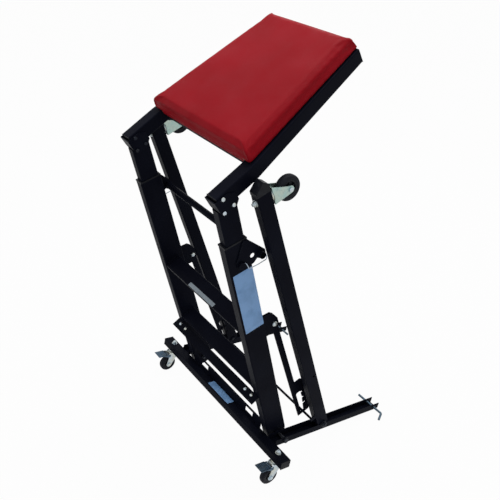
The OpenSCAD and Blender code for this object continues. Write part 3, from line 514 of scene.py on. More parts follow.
def keep(piece: bpy.types.Object, body: str, finish: bpy.types.Material,
         stands_for: Sequence[str] = (), slot: str | None = None) -> None:
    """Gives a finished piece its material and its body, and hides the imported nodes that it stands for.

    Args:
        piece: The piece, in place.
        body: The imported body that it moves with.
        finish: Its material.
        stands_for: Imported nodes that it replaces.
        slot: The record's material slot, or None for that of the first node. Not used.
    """
    piece.data.materials.clear()
    piece.data.materials.append(finish)
    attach(piece, body)
    if stands_for:
        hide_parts(*stands_for)
        slot = slot or SLOT_OF[stands_for[0]]
    LOG.info("%s rides on %s, %d faces", piece.name, body, len(piece.data.polygons))


def to_piece(bm: bmesh.types.BMesh, name: str, crisp_deg: float = 32.0) -> bpy.types.Object:
    """Turns mesh work into an object with smooth faces and crisp edges.

    Args:
        bm: The mesh work, freed here.
        name: The piece's name.
        crisp_deg: Edges that turn more than this stay crisp.

    Returns:
        The new object, linked to the scene.
    """
    mesh = bpy.data.meshes.new(name)
    bm.to_mesh(mesh)
    bm.free()
    mesh.shade_smooth()
    mesh.set_sharp_from_angle(angle=math.radians(crisp_deg))
    piece = bpy.data.objects.new(name, mesh)
    bpy.context.scene.collection.objects.link(piece)
    return piece


def settle_modifiers(piece: bpy.types.Object) -> bpy.types.Object:
    """Makes a piece's modifiers part of its mesh and removes them."""
    graph = bpy.context.evaluated_depsgraph_get()
    mesh = bpy.data.meshes.new_from_object(piece.evaluated_get(graph))
    mesh.name = piece.name
    piece.modifiers.clear()
    piece.data = mesh
    return piece


def even_shading(piece: bpy.types.Object) -> bpy.types.Object:
    """Weights the normals so that flat faces stay flat beside their rounded edges."""
    modifier = piece.modifiers.new("even", "WEIGHTED_NORMAL")
    modifier.keep_sharp = True
    modifier.weight = 80
    return settle_modifiers(piece)


def round_edges(bm: bmesh.types.BMesh, edges: Sequence[bmesh.types.BMEdge], width: float, steps: int,
                slide: bool = True) -> list[bmesh.types.BMFace]:
    """Rounds edges of mesh work.

    Args:
        bm: The mesh work.
        edges: The edges.
        width: Distance from each edge to where its rounding starts.
        steps: Faces across the rounding.
        slide: Whether it slides along its neighbours and stops short of overlaps.

    Returns:
        The new faces.
    """
    made = bmesh.ops.bevel(bm, geom=edges, offset=width, offset_type="OFFSET", segments=steps, profile=0.5,
                           affect="EDGES", clamp_overlap=slide, loop_slide=slide)
    return made["faces"]


@dataclass(frozen=True)
class SteelWork:
    """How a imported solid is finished: rolled bends, then every other edge softened.

    Attributes:
        bend: Radius of the rolled bends, or zero for none.
        bend_from: Shortest edge that starts a bend.
        edge: Width of the softened edges.
        steps: Faces across a bend.
        square_deg: An edge that turns less than this is never rolled.
        least_width: Least width of the faces beside a bend, in radii of the bend.
        sharp_deg: An edge that turns more than this is softened.
        follow_deg: A bend goes on along edges that turn off less than this.
        crisp_deg: An edge that turns more than this stays crisp when shaded.
    """

    bend: float = 0.0
    bend_from: float = 0.10
    edge: float = 0.0006
    steps: int = 5
    square_deg: float = 50.0
    least_width: float = 2.2
    sharp_deg: float = 28.0
    follow_deg: float = 25.0
    crisp_deg: float = 40.0

    def _is_bend(self, edge: bmesh.types.BMEdge) -> bool:
        """Whether an edge may be rolled: square, convex, and wide enough on both faces."""
        if len(edge.link_faces) != 2 or not edge.is_convex:
            return False
        if edge.calc_face_angle(0.0) < math.radians(self.square_deg):
            return False
        start = edge.verts[0].co
        along = (edge.verts[1].co - start).normalized()
        widths = [max((v.co - start).cross(along).length for v in face.verts) for face in edge.link_faces]
        return min(widths) >= self.least_width * self.bend

    def _bends(self, bm: bmesh.types.BMesh) -> list[bmesh.types.BMEdge]:
        """The edges of all bends: long straight ones, and what runs on from them smoothly."""
        may = {e for e in bm.edges if self._is_bend(e)}
        found = {e for e in may if e.calc_length() > self.bend_from}
        front = list(found)
        while front:
            edge = front.pop()
            for vert in edge.verts:
                into = (vert.co - edge.other_vert(vert).co).normalized()
                for nearby in vert.link_edges:
                    if nearby in found or nearby not in may:
                        continue
                    out = (nearby.other_vert(vert).co - vert.co).normalized()
                    if into.angle(out) < math.radians(self.follow_deg):
                        found.add(nearby)
                        front.append(nearby)
        return list(found)

    def dress(self, node: str, name: str) -> bpy.types.Object:
        """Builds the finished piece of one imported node.

        Args:
            node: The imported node.
            name: The new piece's name.

        Returns:
            The piece, not yet riding on its body.
        """
        bm = merged_copy(node)
        rolled = self._bends(bm) if self.bend > 0 else []
        if rolled:
            round_edges(bm, rolled, self.bend, self.steps)
        worn = bm.faces.layers.float.new("worn")
        crisp = [e for e in bm.edges if len(e.link_faces) == 2
                 and abs(e.calc_face_angle(0.0)) > math.radians(self.sharp_deg)]
        if crisp:
            for face in round_edges(bm, crisp, self.edge, 2):
                face[worn] = 1.0
        bmesh.ops.remove_doubles(bm, verts=bm.verts, dist=CLOSE)
        return even_shading(to_piece(bm, name, self.crisp_deg))


class GeometryTree(NodeWriter):
    """Writes one Geometry Nodes tree with named inputs, and runs it on pieces."""

    def __init__(self, name: str, sockets: dict[str, tuple[str, object]]) -> None:
        """Starts a tree.

        Args:
            name: The tree's name.
            sockets: Its inputs but the finish, by name: the socket's type and its default.
        """
        super().__init__(bpy.data.node_groups.new(name, "GeometryNodeTree"))
        face = self.tree.interface
        face.new_socket("Geometry", in_out="INPUT", socket_type="NodeSocketGeometry")
        self.keys = {}
        for label, (kind, default) in {**sockets, "Finish": ("NodeSocketMaterial", None)}.items():
            item = face.new_socket(label, in_out="INPUT", socket_type=kind)
            if default is not None:
                item.default_value = default
            self.keys[label] = item.identifier
        face.new_socket("Geometry", in_out="OUTPUT", socket_type="NodeSocketGeometry")
        self.inputs = self.add("NodeGroupInput").outputs
        self.sink = self.add("NodeGroupOutput")

    def finish(self, geometry: bpy.types.NodeSocket) -> None:
        """Ends the tree in Realize Instances and Set Material."""
        real = self.add("GeometryNodeRealizeInstances", {"Geometry": geometry}).outputs[0]
        dressed = self.add("GeometryNodeSetMaterial", {"Geometry": real, "Material": self.inputs["Finish"]})
        self.join(dressed.outputs[0], self.sink.inputs[0])

    def sweep(self, curve: bpy.types.NodeSocket, sides: object, radius: object, **more: object) -> None:
        """Ends the tree in a ring swept along a curve, with closed ends."""
        ring = self.add("GeometryNodeCurvePrimitiveCircle", {"Resolution": sides, "Radius": radius})
        body = self.add("GeometryNodeCurveToMesh", {"Curve": curve, "Profile Curve": ring.outputs[0],
                                                    "Fill Caps": True, **more})
        self.finish(body.outputs[0])

    def run(self, piece: bpy.types.Object, values: dict[str, object]) -> None:
        """Runs the tree on a piece, with inputs by name, and keeps the result as its plain mesh."""
        modifier = piece.modifiers.new(self.tree.name, "NODES")
        modifier.node_group = self.tree
        for label, value in values.items():
            modifier[self.keys[label]] = value
        settle_modifiers(piece)


class Trees:
    """The Geometry Nodes trees of the stand: fasteners, wires and weld beads."""

    def __init__(self) -> None:
        """Builds the trees."""
        self.fasteners = self._fasteners()
        self.wire = self._wire()
        self.weld = self._weld()

    @staticmethod
    def _fasteners() -> GeometryTree:
        """Sets one fastener on each point, facing the way that the point says."""
        t = GeometryTree("fasteners", {"Fastener": ("NodeSocketObject", None), "Seed": ("NodeSocketInt", 3)})
        info = t.add("GeometryNodeObjectInfo", {"Object": t.inputs["Fastener"]})
        facing = t.add("GeometryNodeInputNamedAttribute", {"Name": "facing"}, data_type="FLOAT_VECTOR")
        turned = t.add("FunctionNodeAlignRotationToVector", {"Vector": facing.outputs[0]}, axis="Z")
        chance = t.add("FunctionNodeRandomValue", {"Seed": t.inputs["Seed"], 3: math.tau}, data_type="FLOAT")
        spin = t.add("FunctionNodeAxisAngleToRotation", {"Axis": (0, 0, 1), "Angle": chance.outputs[1]})
        both = t.add("FunctionNodeRotateRotation", {0: turned.outputs[0], 1: spin.outputs[0]},
                     rotation_space="LOCAL")
        placed = t.add("GeometryNodeInstanceOnPoints", {"Points": t.inputs["Geometry"],
                                                        "Instance": info.outputs["Geometry"],
                                                        "Rotation": both.outputs[0]})
        t.finish(placed.outputs[0])
        return t

    @staticmethod
    def _wire() -> GeometryTree:
        """Bends a round wire along a line of points."""
        t = GeometryTree("bent_wire", {"Radius": ("NodeSocketFloat", 0.002),
                                       "Bend": ("NodeSocketFloat", 0.01), "Sides": ("NodeSocketInt", 16)})
        line = t.add("GeometryNodeMeshToCurve", {"Mesh": t.inputs["Geometry"]})
        eased = t.add("GeometryNodeFilletCurve", {"Curve": line.outputs[0], "Radius": t.inputs["Bend"],
                                                  "Limit Radius": True, "Count": 10}, mode="POLY")
        t.sweep(eased.outputs[0], t.inputs["Sides"], t.inputs["Radius"])
        return t

    @staticmethod
    def _weld() -> GeometryTree:
        """Lays a rippled weld bead along a line of points, its radius in shares of the stated one."""
        t = GeometryTree("weld_bead", {"Radius": ("NodeSocketFloat", 0.003),
                                       "Ripple": ("NodeSocketFloat", 0.0035)})
        least_share, wave_share, wander_share = 0.62, 0.22, 0.5
        line = t.add("GeometryNodeMeshToCurve", {"Mesh": t.inputs["Geometry"]})
        step = t.maths("DIVIDE", t.inputs["Ripple"], 3.0)
        fine = t.add("GeometryNodeResampleCurve", {"Curve": line.outputs[0], "Length": step}, mode="LENGTH")
        gone = t.add("GeometryNodeSplineParameter").outputs["Length"]
        phase = t.maths("DIVIDE", t.maths("MULTIPLY", gone, math.pi), t.inputs["Ripple"])
        wave = t.maths("ABSOLUTE", t.maths("SINE", phase))
        wander = t.add("ShaderNodeTexNoise", {"Scale": 60.0, "Detail": 2.0}).outputs["Fac"]
        swell = t.maths("ADD", t.maths("MULTIPLY", wave, wave_share),
                        t.maths("MULTIPLY", wander, wander_share))
        radius = t.maths("MULTIPLY", t.maths("ADD", swell, least_share), t.inputs["Radius"])
        sized = t.add("GeometryNodeSetCurveRadius", {"Curve": fine.outputs[0], "Radius": radius})
        t.sweep(sized.outputs[0], 8, 1.0, Scale=t.add("GeometryNodeInputRadius").outputs[0])
        return t


def lathe(bm: bmesh.types.BMesh, profile: Sequence[tuple[float, float]], sides: int,
          closed: bool = False) -> None:
    """Turns a profile of (radius, height) points about Z into a closed shell.

    Args:
        bm: Where the shell goes.
        profile: The points, from the axis back to the axis unless closed.
        sides: Corners of each ring.
        closed: Whether the profile is a ring of its own, clear of the axis.
    """
    rings = []
    for radius, height in profile:
        if radius < TINY:
            rings.append([bm.verts.new((0, 0, height))])
            continue
        turns = (math.tau * i / sides for i in range(sides))
        rings.append([bm.verts.new((radius * math.cos(a), radius * math.sin(a), height)) for a in turns])
    pairs = list(zip(rings, rings[1:]))
    if closed:
        pairs.append((rings[-1], rings[0]))
    made = []
    for low, high in pairs:
        for i in range(sides):
            j = (i + 1) % sides
            if len(low) == 1:
                corners = [low[0], high[j], high[i]]
            elif len(high) == 1:
                corners = [low[i], low[j], high[0]]
            else:
                corners = [low[i], low[j], high[j], high[i]]
            made.append(bm.faces.new(corners))
    bmesh.ops.recalc_face_normals(bm, faces=made)


def moved(bm: bmesh.types.BMesh, matrix: Matrix) -> bmesh.types.BMesh:
    """Moves mesh work and returns it."""
    bmesh.ops.transform(bm, matrix=matrix, verts=bm.verts)
    return bm


def thread_profile(radius: float, low: float, high: float,
                   pitch: float = 0.0015) -> list[tuple[float, float]]:
    """A threaded rod's end as a profile, from its top down to low, with a groove each pitch."""
    points = [(0.0, high), (radius - pitch / 2, high)]
    height = high - pitch / 2
    while height > low + pitch:
        points += [(radius, height), (radius - 0.45 * pitch, height - pitch / 2)]
        height -= pitch
    return points + [(radius, low)]


@dataclass(frozen=True)
class Fastener:
    """A bolt's end as it shows outside, standing on z = 0 and facing +Z.

    Attributes:
        name: The fastener's name.
        radius: Radius over the corners or the dome.
        height: Height of the head or nut.
        hexed: Whether it is a hexagon or a dome.
        washer: Radius of its washer, or zero.
        washer_t: Thickness of the washer.
        rod: Radius of the threaded end that stands out of a nut, or zero.
        rod_out: How far that end stands out of the nut.
        shank: Length of the rod behind the seat.
        rod_sunk: How deep the threaded end starts inside the nut.
    """

    name: str
    radius: float
    height: float
    hexed: bool = True
    washer: float = 0.0
    washer_t: float = 0.0015
    rod: float = 0.0
    rod_out: float = 0.0
    shank: float = 0.0
    rod_sunk: float = 0.001

    def template(self) -> bpy.types.Object:
        """Builds the fastener as an object for the fastener tree to copy."""
        bm = bmesh.new()
        seat = 0.0
        if self.washer > 0:
            ease = self.washer_t / 4
            lathe(bm, [(0, 0), (self.washer, 0), (self.washer, self.washer_t - ease),
                       (self.washer - ease, self.washer_t), (0, self.washer_t)], 32)
            seat = self.washer_t
        top = self.height
        if self.hexed:
            lathe(bm, [(0, seat), (self.radius * 0.96, seat), (self.radius, seat + self.height * 0.06),
                       (self.radius, top - self.height * 0.16), (self.radius * 0.87, top), (0, top)], 6)
        else:
            arc = [(self.radius * math.cos(a), seat + (top - seat) * math.sin(a))
                   for a in (math.pi / 2 * i / 7 for i in range(7))]
            lathe(bm, [(0, seat), *arc, (0, top)], 32)
        if self.rod > 0:
            if self.rod_out > 0:
                low = top - self.rod_sunk
                lathe(bm, thread_profile(self.rod, low, top + self.rod_out) + [(0, low)], 24)
            if self.shank > 0:
                lathe(bm, [(0, seat), (self.rod, seat), (self.rod, -self.shank), (0, -self.shank)], 24)
        return to_piece(bm, self.name, 30)


@dataclass(frozen=True)
class Seat:
    """Where a fastener sits, and the way it faces."""

    at: Vector
    facing: Vector


def line_piece(name: str, lines: Sequence[Sequence[Vector]]) -> bpy.types.Object:
    """An object made of open lines of points."""
    bm = bmesh.new()
    for points in lines:
        verts = [bm.verts.new(p) for p in points]
        for a, b in zip(verts, verts[1:]):
            bm.edges.new((a, b))
    return to_piece(bm, name)


def box_piece(name: str, low: Vector, high: Vector, place: Place, ease: float) -> bpy.types.Object:
    """A thin plate with rounded corners in its widest face.

    Args:
        name: The piece's name.
        low: Lowest corner, in the frame.
        high: Highest corner, in the frame.
        place: The frame.
        ease: Radius of the corners.

    Returns:
        The plate.
    """
    bm = bmesh.new()
    bmesh.ops.create_cube(bm, size=1.0)
    size, middle = high - low, (high + low) / 2
    moved(bm, Matrix.Translation(middle) @ Matrix.Diagonal((*size, 1)))
    thin = min(range(3), key=lambda i: size[i])
    across = [e for e in bm.edges if abs((e.verts[0].co - e.verts[1].co)[thin]) > size[thin] / 2]
    round_edges(bm, across, ease, 5, slide=False)
    rim = [e for e in bm.edges if len(e.link_faces) == 2 and e.calc_face_angle(0.0) > math.radians(60)]
    round_edges(bm, rim, min(ease, size[thin] * 0.3), 1, slide=False)
    return to_piece(moved(bm, place.matrix), name)


class Workshop:
    """What every sub-assembly is made with: the finishes and the trees."""

    def __init__(self) -> None:
        """Makes the finishes and the trees."""
        self.finishes = Finishes()
        self.trees = Trees()

    def steel(self, node: str, work: SteelWork, suffix: str = "formed",
              finish: bpy.types.Material | None = None) -> None:
        """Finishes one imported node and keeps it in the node's place.

        Args:
            node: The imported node.
            work: How it is finished.
            suffix: Word added to the node's name.
            finish: Its material, or None for that of the node's slot.
        """
        piece = work.dress(node, f"{node}_{suffix}")
        keep(piece, BODY_OF[node], finish or self.finishes.of_slot[SLOT_OF[node]], [node])

    def fasten(self, name: str, body: str, fastener: Fastener, seats: Sequence[Seat],
               stands_for: Sequence[str] = (), seed: int = 3,
               finish: bpy.types.Material | None = None) -> None:
        """Sets the same fastener at several seats, as one piece.

        Args:
            name: The piece's name.
            body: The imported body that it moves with.
            fastener: The fastener.
            seats: Where it sits.
            stands_for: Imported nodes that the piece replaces.
            seed: Seed of the heads' random turn.
            finish: Its material, or None for bright zinc.
        """
        template = fastener.template()
        finish = finish or self.finishes.zinc
        bm = bmesh.new()
        facing = bm.verts.layers.float_vector.new("facing")
        for seat in seats:
            bm.verts.new(seat.at)[facing] = seat.facing
        piece = to_piece(bm, name)
        self.trees.fasteners.run(piece, {"Fastener": template, "Seed": seed, "Finish": finish})
        bpy.data.objects.remove(template)
        piece.data.set_sharp_from_angle(angle=math.radians(30))
        keep(piece, body, finish, stands_for, "zinc")

    def bend_wire(self, name: str, body: str, lines: Sequence[Sequence[Vector]], radius: float, bend: float,
                  finish: bpy.types.Material, slot: str, stands_for: Sequence[str] = (),
                  sides: int = 20) -> None:
        """Bends round wires along lines of points, as one piece.

        Args:
            name: The piece's name.
            body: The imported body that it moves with.
            lines: The wires' corners.
            radius: Radius of the wire.
            bend: Radius of its bends.
            finish: Its material.
            slot: The record's material slot.
            stands_for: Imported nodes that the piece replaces.
            sides: Faces round the wire.
        """
        piece = line_piece(name, lines)
        self.trees.wire.run(piece, {"Radius": radius, "Bend": bend, "Sides": sides, "Finish": finish})
        piece.data.set_sharp_from_angle(angle=math.radians(40))
        keep(piece, body, finish, stands_for, slot)

    def weld(self, name: str, body: str, lines: Sequence[Sequence[Vector]], radius: float = 0.0026) -> None:
        """Lays painted weld beads along lines of points, as one piece."""
        piece = line_piece(name, lines)
        self.trees.weld.run(piece, {"Radius": radius, "Ripple": 0.0034, "Finish": self.finishes.coat})
        keep(piece, body, self.finishes.coat, (), "black_steel")


@dataclass(frozen=True)
class Caster:
    """One caster: its stem with the ball race, fork, axle and wheel.

    Attributes:
        kind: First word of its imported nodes, rear or leg.
        side: The side of the stand.
        grip: Height of the tube that its stem goes through.
        race_r: Radius of the ball race.
        race_t: Height of the ball race.
        stem_r: Radius of the stem.
        stem_out: How far the stem stands out of the tube.
        head_r: Radius of the stem's head below the fork.
        head_t: Thickness of that head.
        web_t: Thickness of the fork's web with its gaps.
        axle_r: Radius of the axle.
        axle_gap: Gap between the axle and the wheel's bore.
    """

    kind: str
    side: Side
    grip: float
    race_r: float = 0.022
    race_t: float = 0.005
    stem_r: float = 0.006
    stem_out: float = 0.013
    head_r: float = 0.013
    head_t: float = 0.0035
    web_t: float = 0.0036
    axle_r: float = 0.005
    axle_gap: float = 0.0001

    def name(self, what: str) -> str:
        """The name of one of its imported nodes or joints, such as rear_fork_left."""
        return f"{self.kind}_{what}_{self.side.word}"

    @property
    def mount(self) -> Matrix:
        """The caster's own frame: Z up the stem, away from the wheel, origin on the tube."""
        axis = Vector(JOINTS[self.name("swivel")]["axis"])
        if self.kind == "leg":
            axis = -axis
        at = joint_point(self.name("swivel"))
        return Matrix.Translation(at) @ axis.to_track_quat("Z", "X").to_matrix().to_4x4()

    def stem(self, bm: bmesh.types.BMesh) -> None:
        """Adds the stem with its race and head, in place."""
        known = set(bm.verts)
        r, t = self.race_r, self.race_t
        lathe(bm, [(0, 0), (0.78 * r, 0), (0.86 * r, -0.10 * t), (0.93 * r, -0.32 * t), (0.97 * r, -0.62 * t),
                   (r, -0.66 * t), (r, -0.86 * t), (0.97 * r, -t), (0, -t)], 48)
        low = -t - self.web_t
        lathe(bm, [(0, -t), (self.stem_r, -t), (self.stem_r, low), (self.head_r, low),
                   (self.head_r, low - 0.6 * self.head_t), (0.86 * self.head_r, low - self.head_t),
                   (0, low - self.head_t)], 32)
        top = self.grip + self.stem_out
        lathe(bm, thread_profile(self.stem_r, self.grip, top) + [(self.stem_r, 0), (0, 0)], 24)
        bmesh.ops.transform(bm, matrix=self.mount, verts=[v for v in bm.verts if v not in known])

    def hub_profile(self, radius: float, half: float) -> list[tuple[float, float]]:
        """A dished wheel centre: boss, web and rim, as a closed ring."""
        bore, boss = self.axle_r + self.axle_gap, self.axle_r + 0.0065
        face = [(bore, half), (boss, half), (boss + 0.001, half - 0.001), (boss + 0.002, 0.42 * half),
                (radius - 0.008, 0.36 * half), (radius - 0.0055, half - 0.0015),
                (radius - 0.0045, half - 0.0006), (radius, half - 0.0006)]
        return face + [(r, -z) for r, z in reversed(face)]

    @staticmethod
    def tyre_profile(bore: float, radius: float, half: float) -> list[tuple[float, float]]:
        """A solid tyre: bead, sidewall with a step, and a crowned running face, as a closed ring."""
        depth = radius - bore
        face = [(bore, half - 0.0012), (bore + 0.10 * depth, half - 0.0004), (bore + 0.34 * depth, half),
                (bore + 0.40 * depth, half - 0.0007), (bore + 0.60 * depth, half - 0.0009),
                (bore + 0.74 * depth, 0.93 * half), (bore + 0.87 * depth, 0.80 * half),
                (bore + 0.955 * depth, 0.58 * half), (bore + 0.99 * depth, 0.30 * half), (radius, 0.0)]
        return face + [(r, -z) for r, z in reversed(face[:-1])]


@dataclass
class Casters:
    """The four casters, with the brake pedals of the rear two.

    Attributes:
        shop: Finishes and trees.
        spokes: Ribs through each wheel's centre.
        spoke_t: Thickness of those ribs.
        spoke_start: Distance of their inner ends from the axle.
        spoke_end: Distance of their outer ends from the rim's face.
        spoke_width_share: Their width, as a share of the wheel's.
        centre_share: Radius of a rear wheel's centre, as a share of the wheel's.
        fork_bend: Radius of the fork's pressed corners.
        end_r: Radius of the axle's head and nut.
        end_t: Thickness of the axle's head and nut.
        end_out: How far the axle stands out of its nut.
        end_gap: Gap between the nut and the end of the axle's plain part.
        ribs: Ribs across a brake pedal.
        rib_step: Distance between them.
        rib_r: Their radius.
        rib_start: Distance of the first one from the pedal's end.
        rib_inset: Distance of their ends from the pedal's sides.
    """

    shop: Workshop
    spokes: int = 6
    spoke_t: float = 0.0022
    spoke_start: float = 0.005
    spoke_end: float = 0.006
    spoke_width_share: float = 0.78
    centre_share: float = 0.62
    fork_bend: float = 0.0028
    end_r: float = 0.0085
    end_t: float = 0.005
    end_out: float = 0.0015
    end_gap: float = 0.001
    ribs: int = 5
    rib_step: float = 0.008
    rib_r: float = 0.0012
    rib_start: float = 0.006
    rib_inset: float = 0.005

    def build(self) -> None:
        """Builds all four casters."""
        grips = {"rear": extent("caster_bar", BASE).size.z, "leg": extent("leg_caps", LEGS).size.y}
        for kind, grip in grips.items():
            casters = [Caster(kind, side, grip) for side in Side]
            self._stems(kind, casters)
            for caster in casters:
                self._fork(caster)
                self._wheel(caster)
        for side in Side:
            self._pedal(f"brake_pedal_{side.word}")

    def _pedal(self, node: str) -> None:
        """A brake pedal and the pressed ribs across it."""
        finish = self.shop.finishes.pedal
        self.shop.steel(node, SteelWork(edge=0.0007), "pressed", finish)
        span = extent(node, BASE)
        places = [span.low.y + self.rib_start + self.rib_step * k for k in range(self.ribs)]
        ends = span.low.x + self.rib_inset, span.high.x - self.rib_inset
        lines = [[BASE.point(x, y, span.high.z) for x in ends] for y in places]
        self.shop.bend_wire(f"{node}_ribs", BODY_OF[node], lines, self.rib_r, 0.0, finish, "zinc")

    def _stems(self, kind: str, casters: Sequence[Caster]) -> None:
        """Both stems of one kind as a piece, with their nuts as another."""
        bm = bmesh.new()
        for caster in casters:
            caster.stem(bm)
        node = f"{kind}_caster_stems"
        keep(to_piece(bm, f"{kind}_ball_races", 34), BODY_OF[node], self.shop.finishes.zinc, [node])
        nut = Fastener("stem_nut", 0.010, 0.008, washer=0.012, washer_t=0.0014)
        seats = [Seat(c.mount @ Vector((0, 0, c.grip)), c.mount.to_3x3() @ Vector((0, 0, 1)))
                 for c in casters]
        self.shop.fasten(f"{kind}_stem_nuts", BODY_OF[node], nut, seats, [f"{kind}_caster_nuts"])

    def _fork(self, caster: Caster) -> None:
        """A pressed fork and its axle."""
        work = SteelWork(bend=self.fork_bend, bend_from=0.03, steps=4)
        finish = self.shop.finishes.pale if caster.kind == "leg" else None
        self.shop.steel(caster.name("fork"), work, "pressed", finish)
        node = caster.name("axle")
        span = extent(node)
        y, z = joint_point(caster.name("roll")).yz
        shank = span.size.x / 2 - self.end_t
        head = Fastener("axle_end", self.end_r, self.end_t, rod=caster.axle_r, shank=shank)
        nut = Fastener("axle_nut", self.end_r, self.end_t, rod=caster.axle_r, rod_out=self.end_out,
                       shank=shank - self.end_gap)
        right = Seat(Vector((span.high.x - self.end_t, y, z)), Vector((1, 0, 0)))
        left = Seat(Vector((span.low.x + self.end_t + self.end_out, y, z)), Vector((-1, 0, 0)))
        self.shop.fasten(f"{node}_bolt", BODY_OF[node], head, [right], [node], 5)
        self.shop.fasten(f"{node}_nut", BODY_OF[node], nut, [left], [], 8)

    def _wheel(self, caster: Caster) -> None:
        """A tyre and a ribbed centre, turned about the axle."""
        rear = caster.kind == "rear"
        nodes = [caster.name("wheel")] if rear else [caster.name("tyre"), caster.name("hub")]
        span = extent(nodes[0])
        radius, half = span.size.z / 2, span.size.x / 2
        hub_r = self.centre_share * radius if rear else extent(nodes[1]).size.z / 2
        about = Matrix.Translation(joint_point(caster.name("roll"))) @ Matrix.Rotation(math.pi / 2, 4, "Y")
        body = BODY_OF[nodes[0]]
        bm = bmesh.new()
        lathe(bm, caster.tyre_profile(hub_r, radius, half), 96, closed=True)
        tyre = to_piece(moved(bm, about), f"{caster.name('tyre')}_rubber", 40)
        keep(tyre, body, self.shop.finishes.rubber, nodes[:1])
        bm = bmesh.new()
        lathe(bm, caster.hub_profile(hub_r, half), 72, closed=True)
        for k in range(self.spokes):
            self._spoke(bm, math.tau * k / self.spokes, caster.axle_r + self.spoke_start,
                        hub_r - self.spoke_end, self.spoke_width_share * half)
        hub = to_piece(moved(bm, about), f"{caster.name('hub')}_moulded", 34)
        keep(hub, body, self.shop.finishes.plastic, nodes[1:] or nodes[:1], "black_plastic")

    def _spoke(self, bm: bmesh.types.BMesh, angle: float, start: float, end: float, half: float) -> None:
        """One rib through a wheel's centre, from the boss to the rim."""
        made = bmesh.ops.create_cube(bm, size=1.0)["verts"]
        shape = Matrix.Diagonal((end - start, self.spoke_t, 2 * half, 1))
        at = Matrix.Rotation(angle, 4, "Z") @ Matrix.Translation(((start + end) / 2, 0, 0)) @ shape
        bmesh.ops.transform(bm, matrix=at, verts=made)


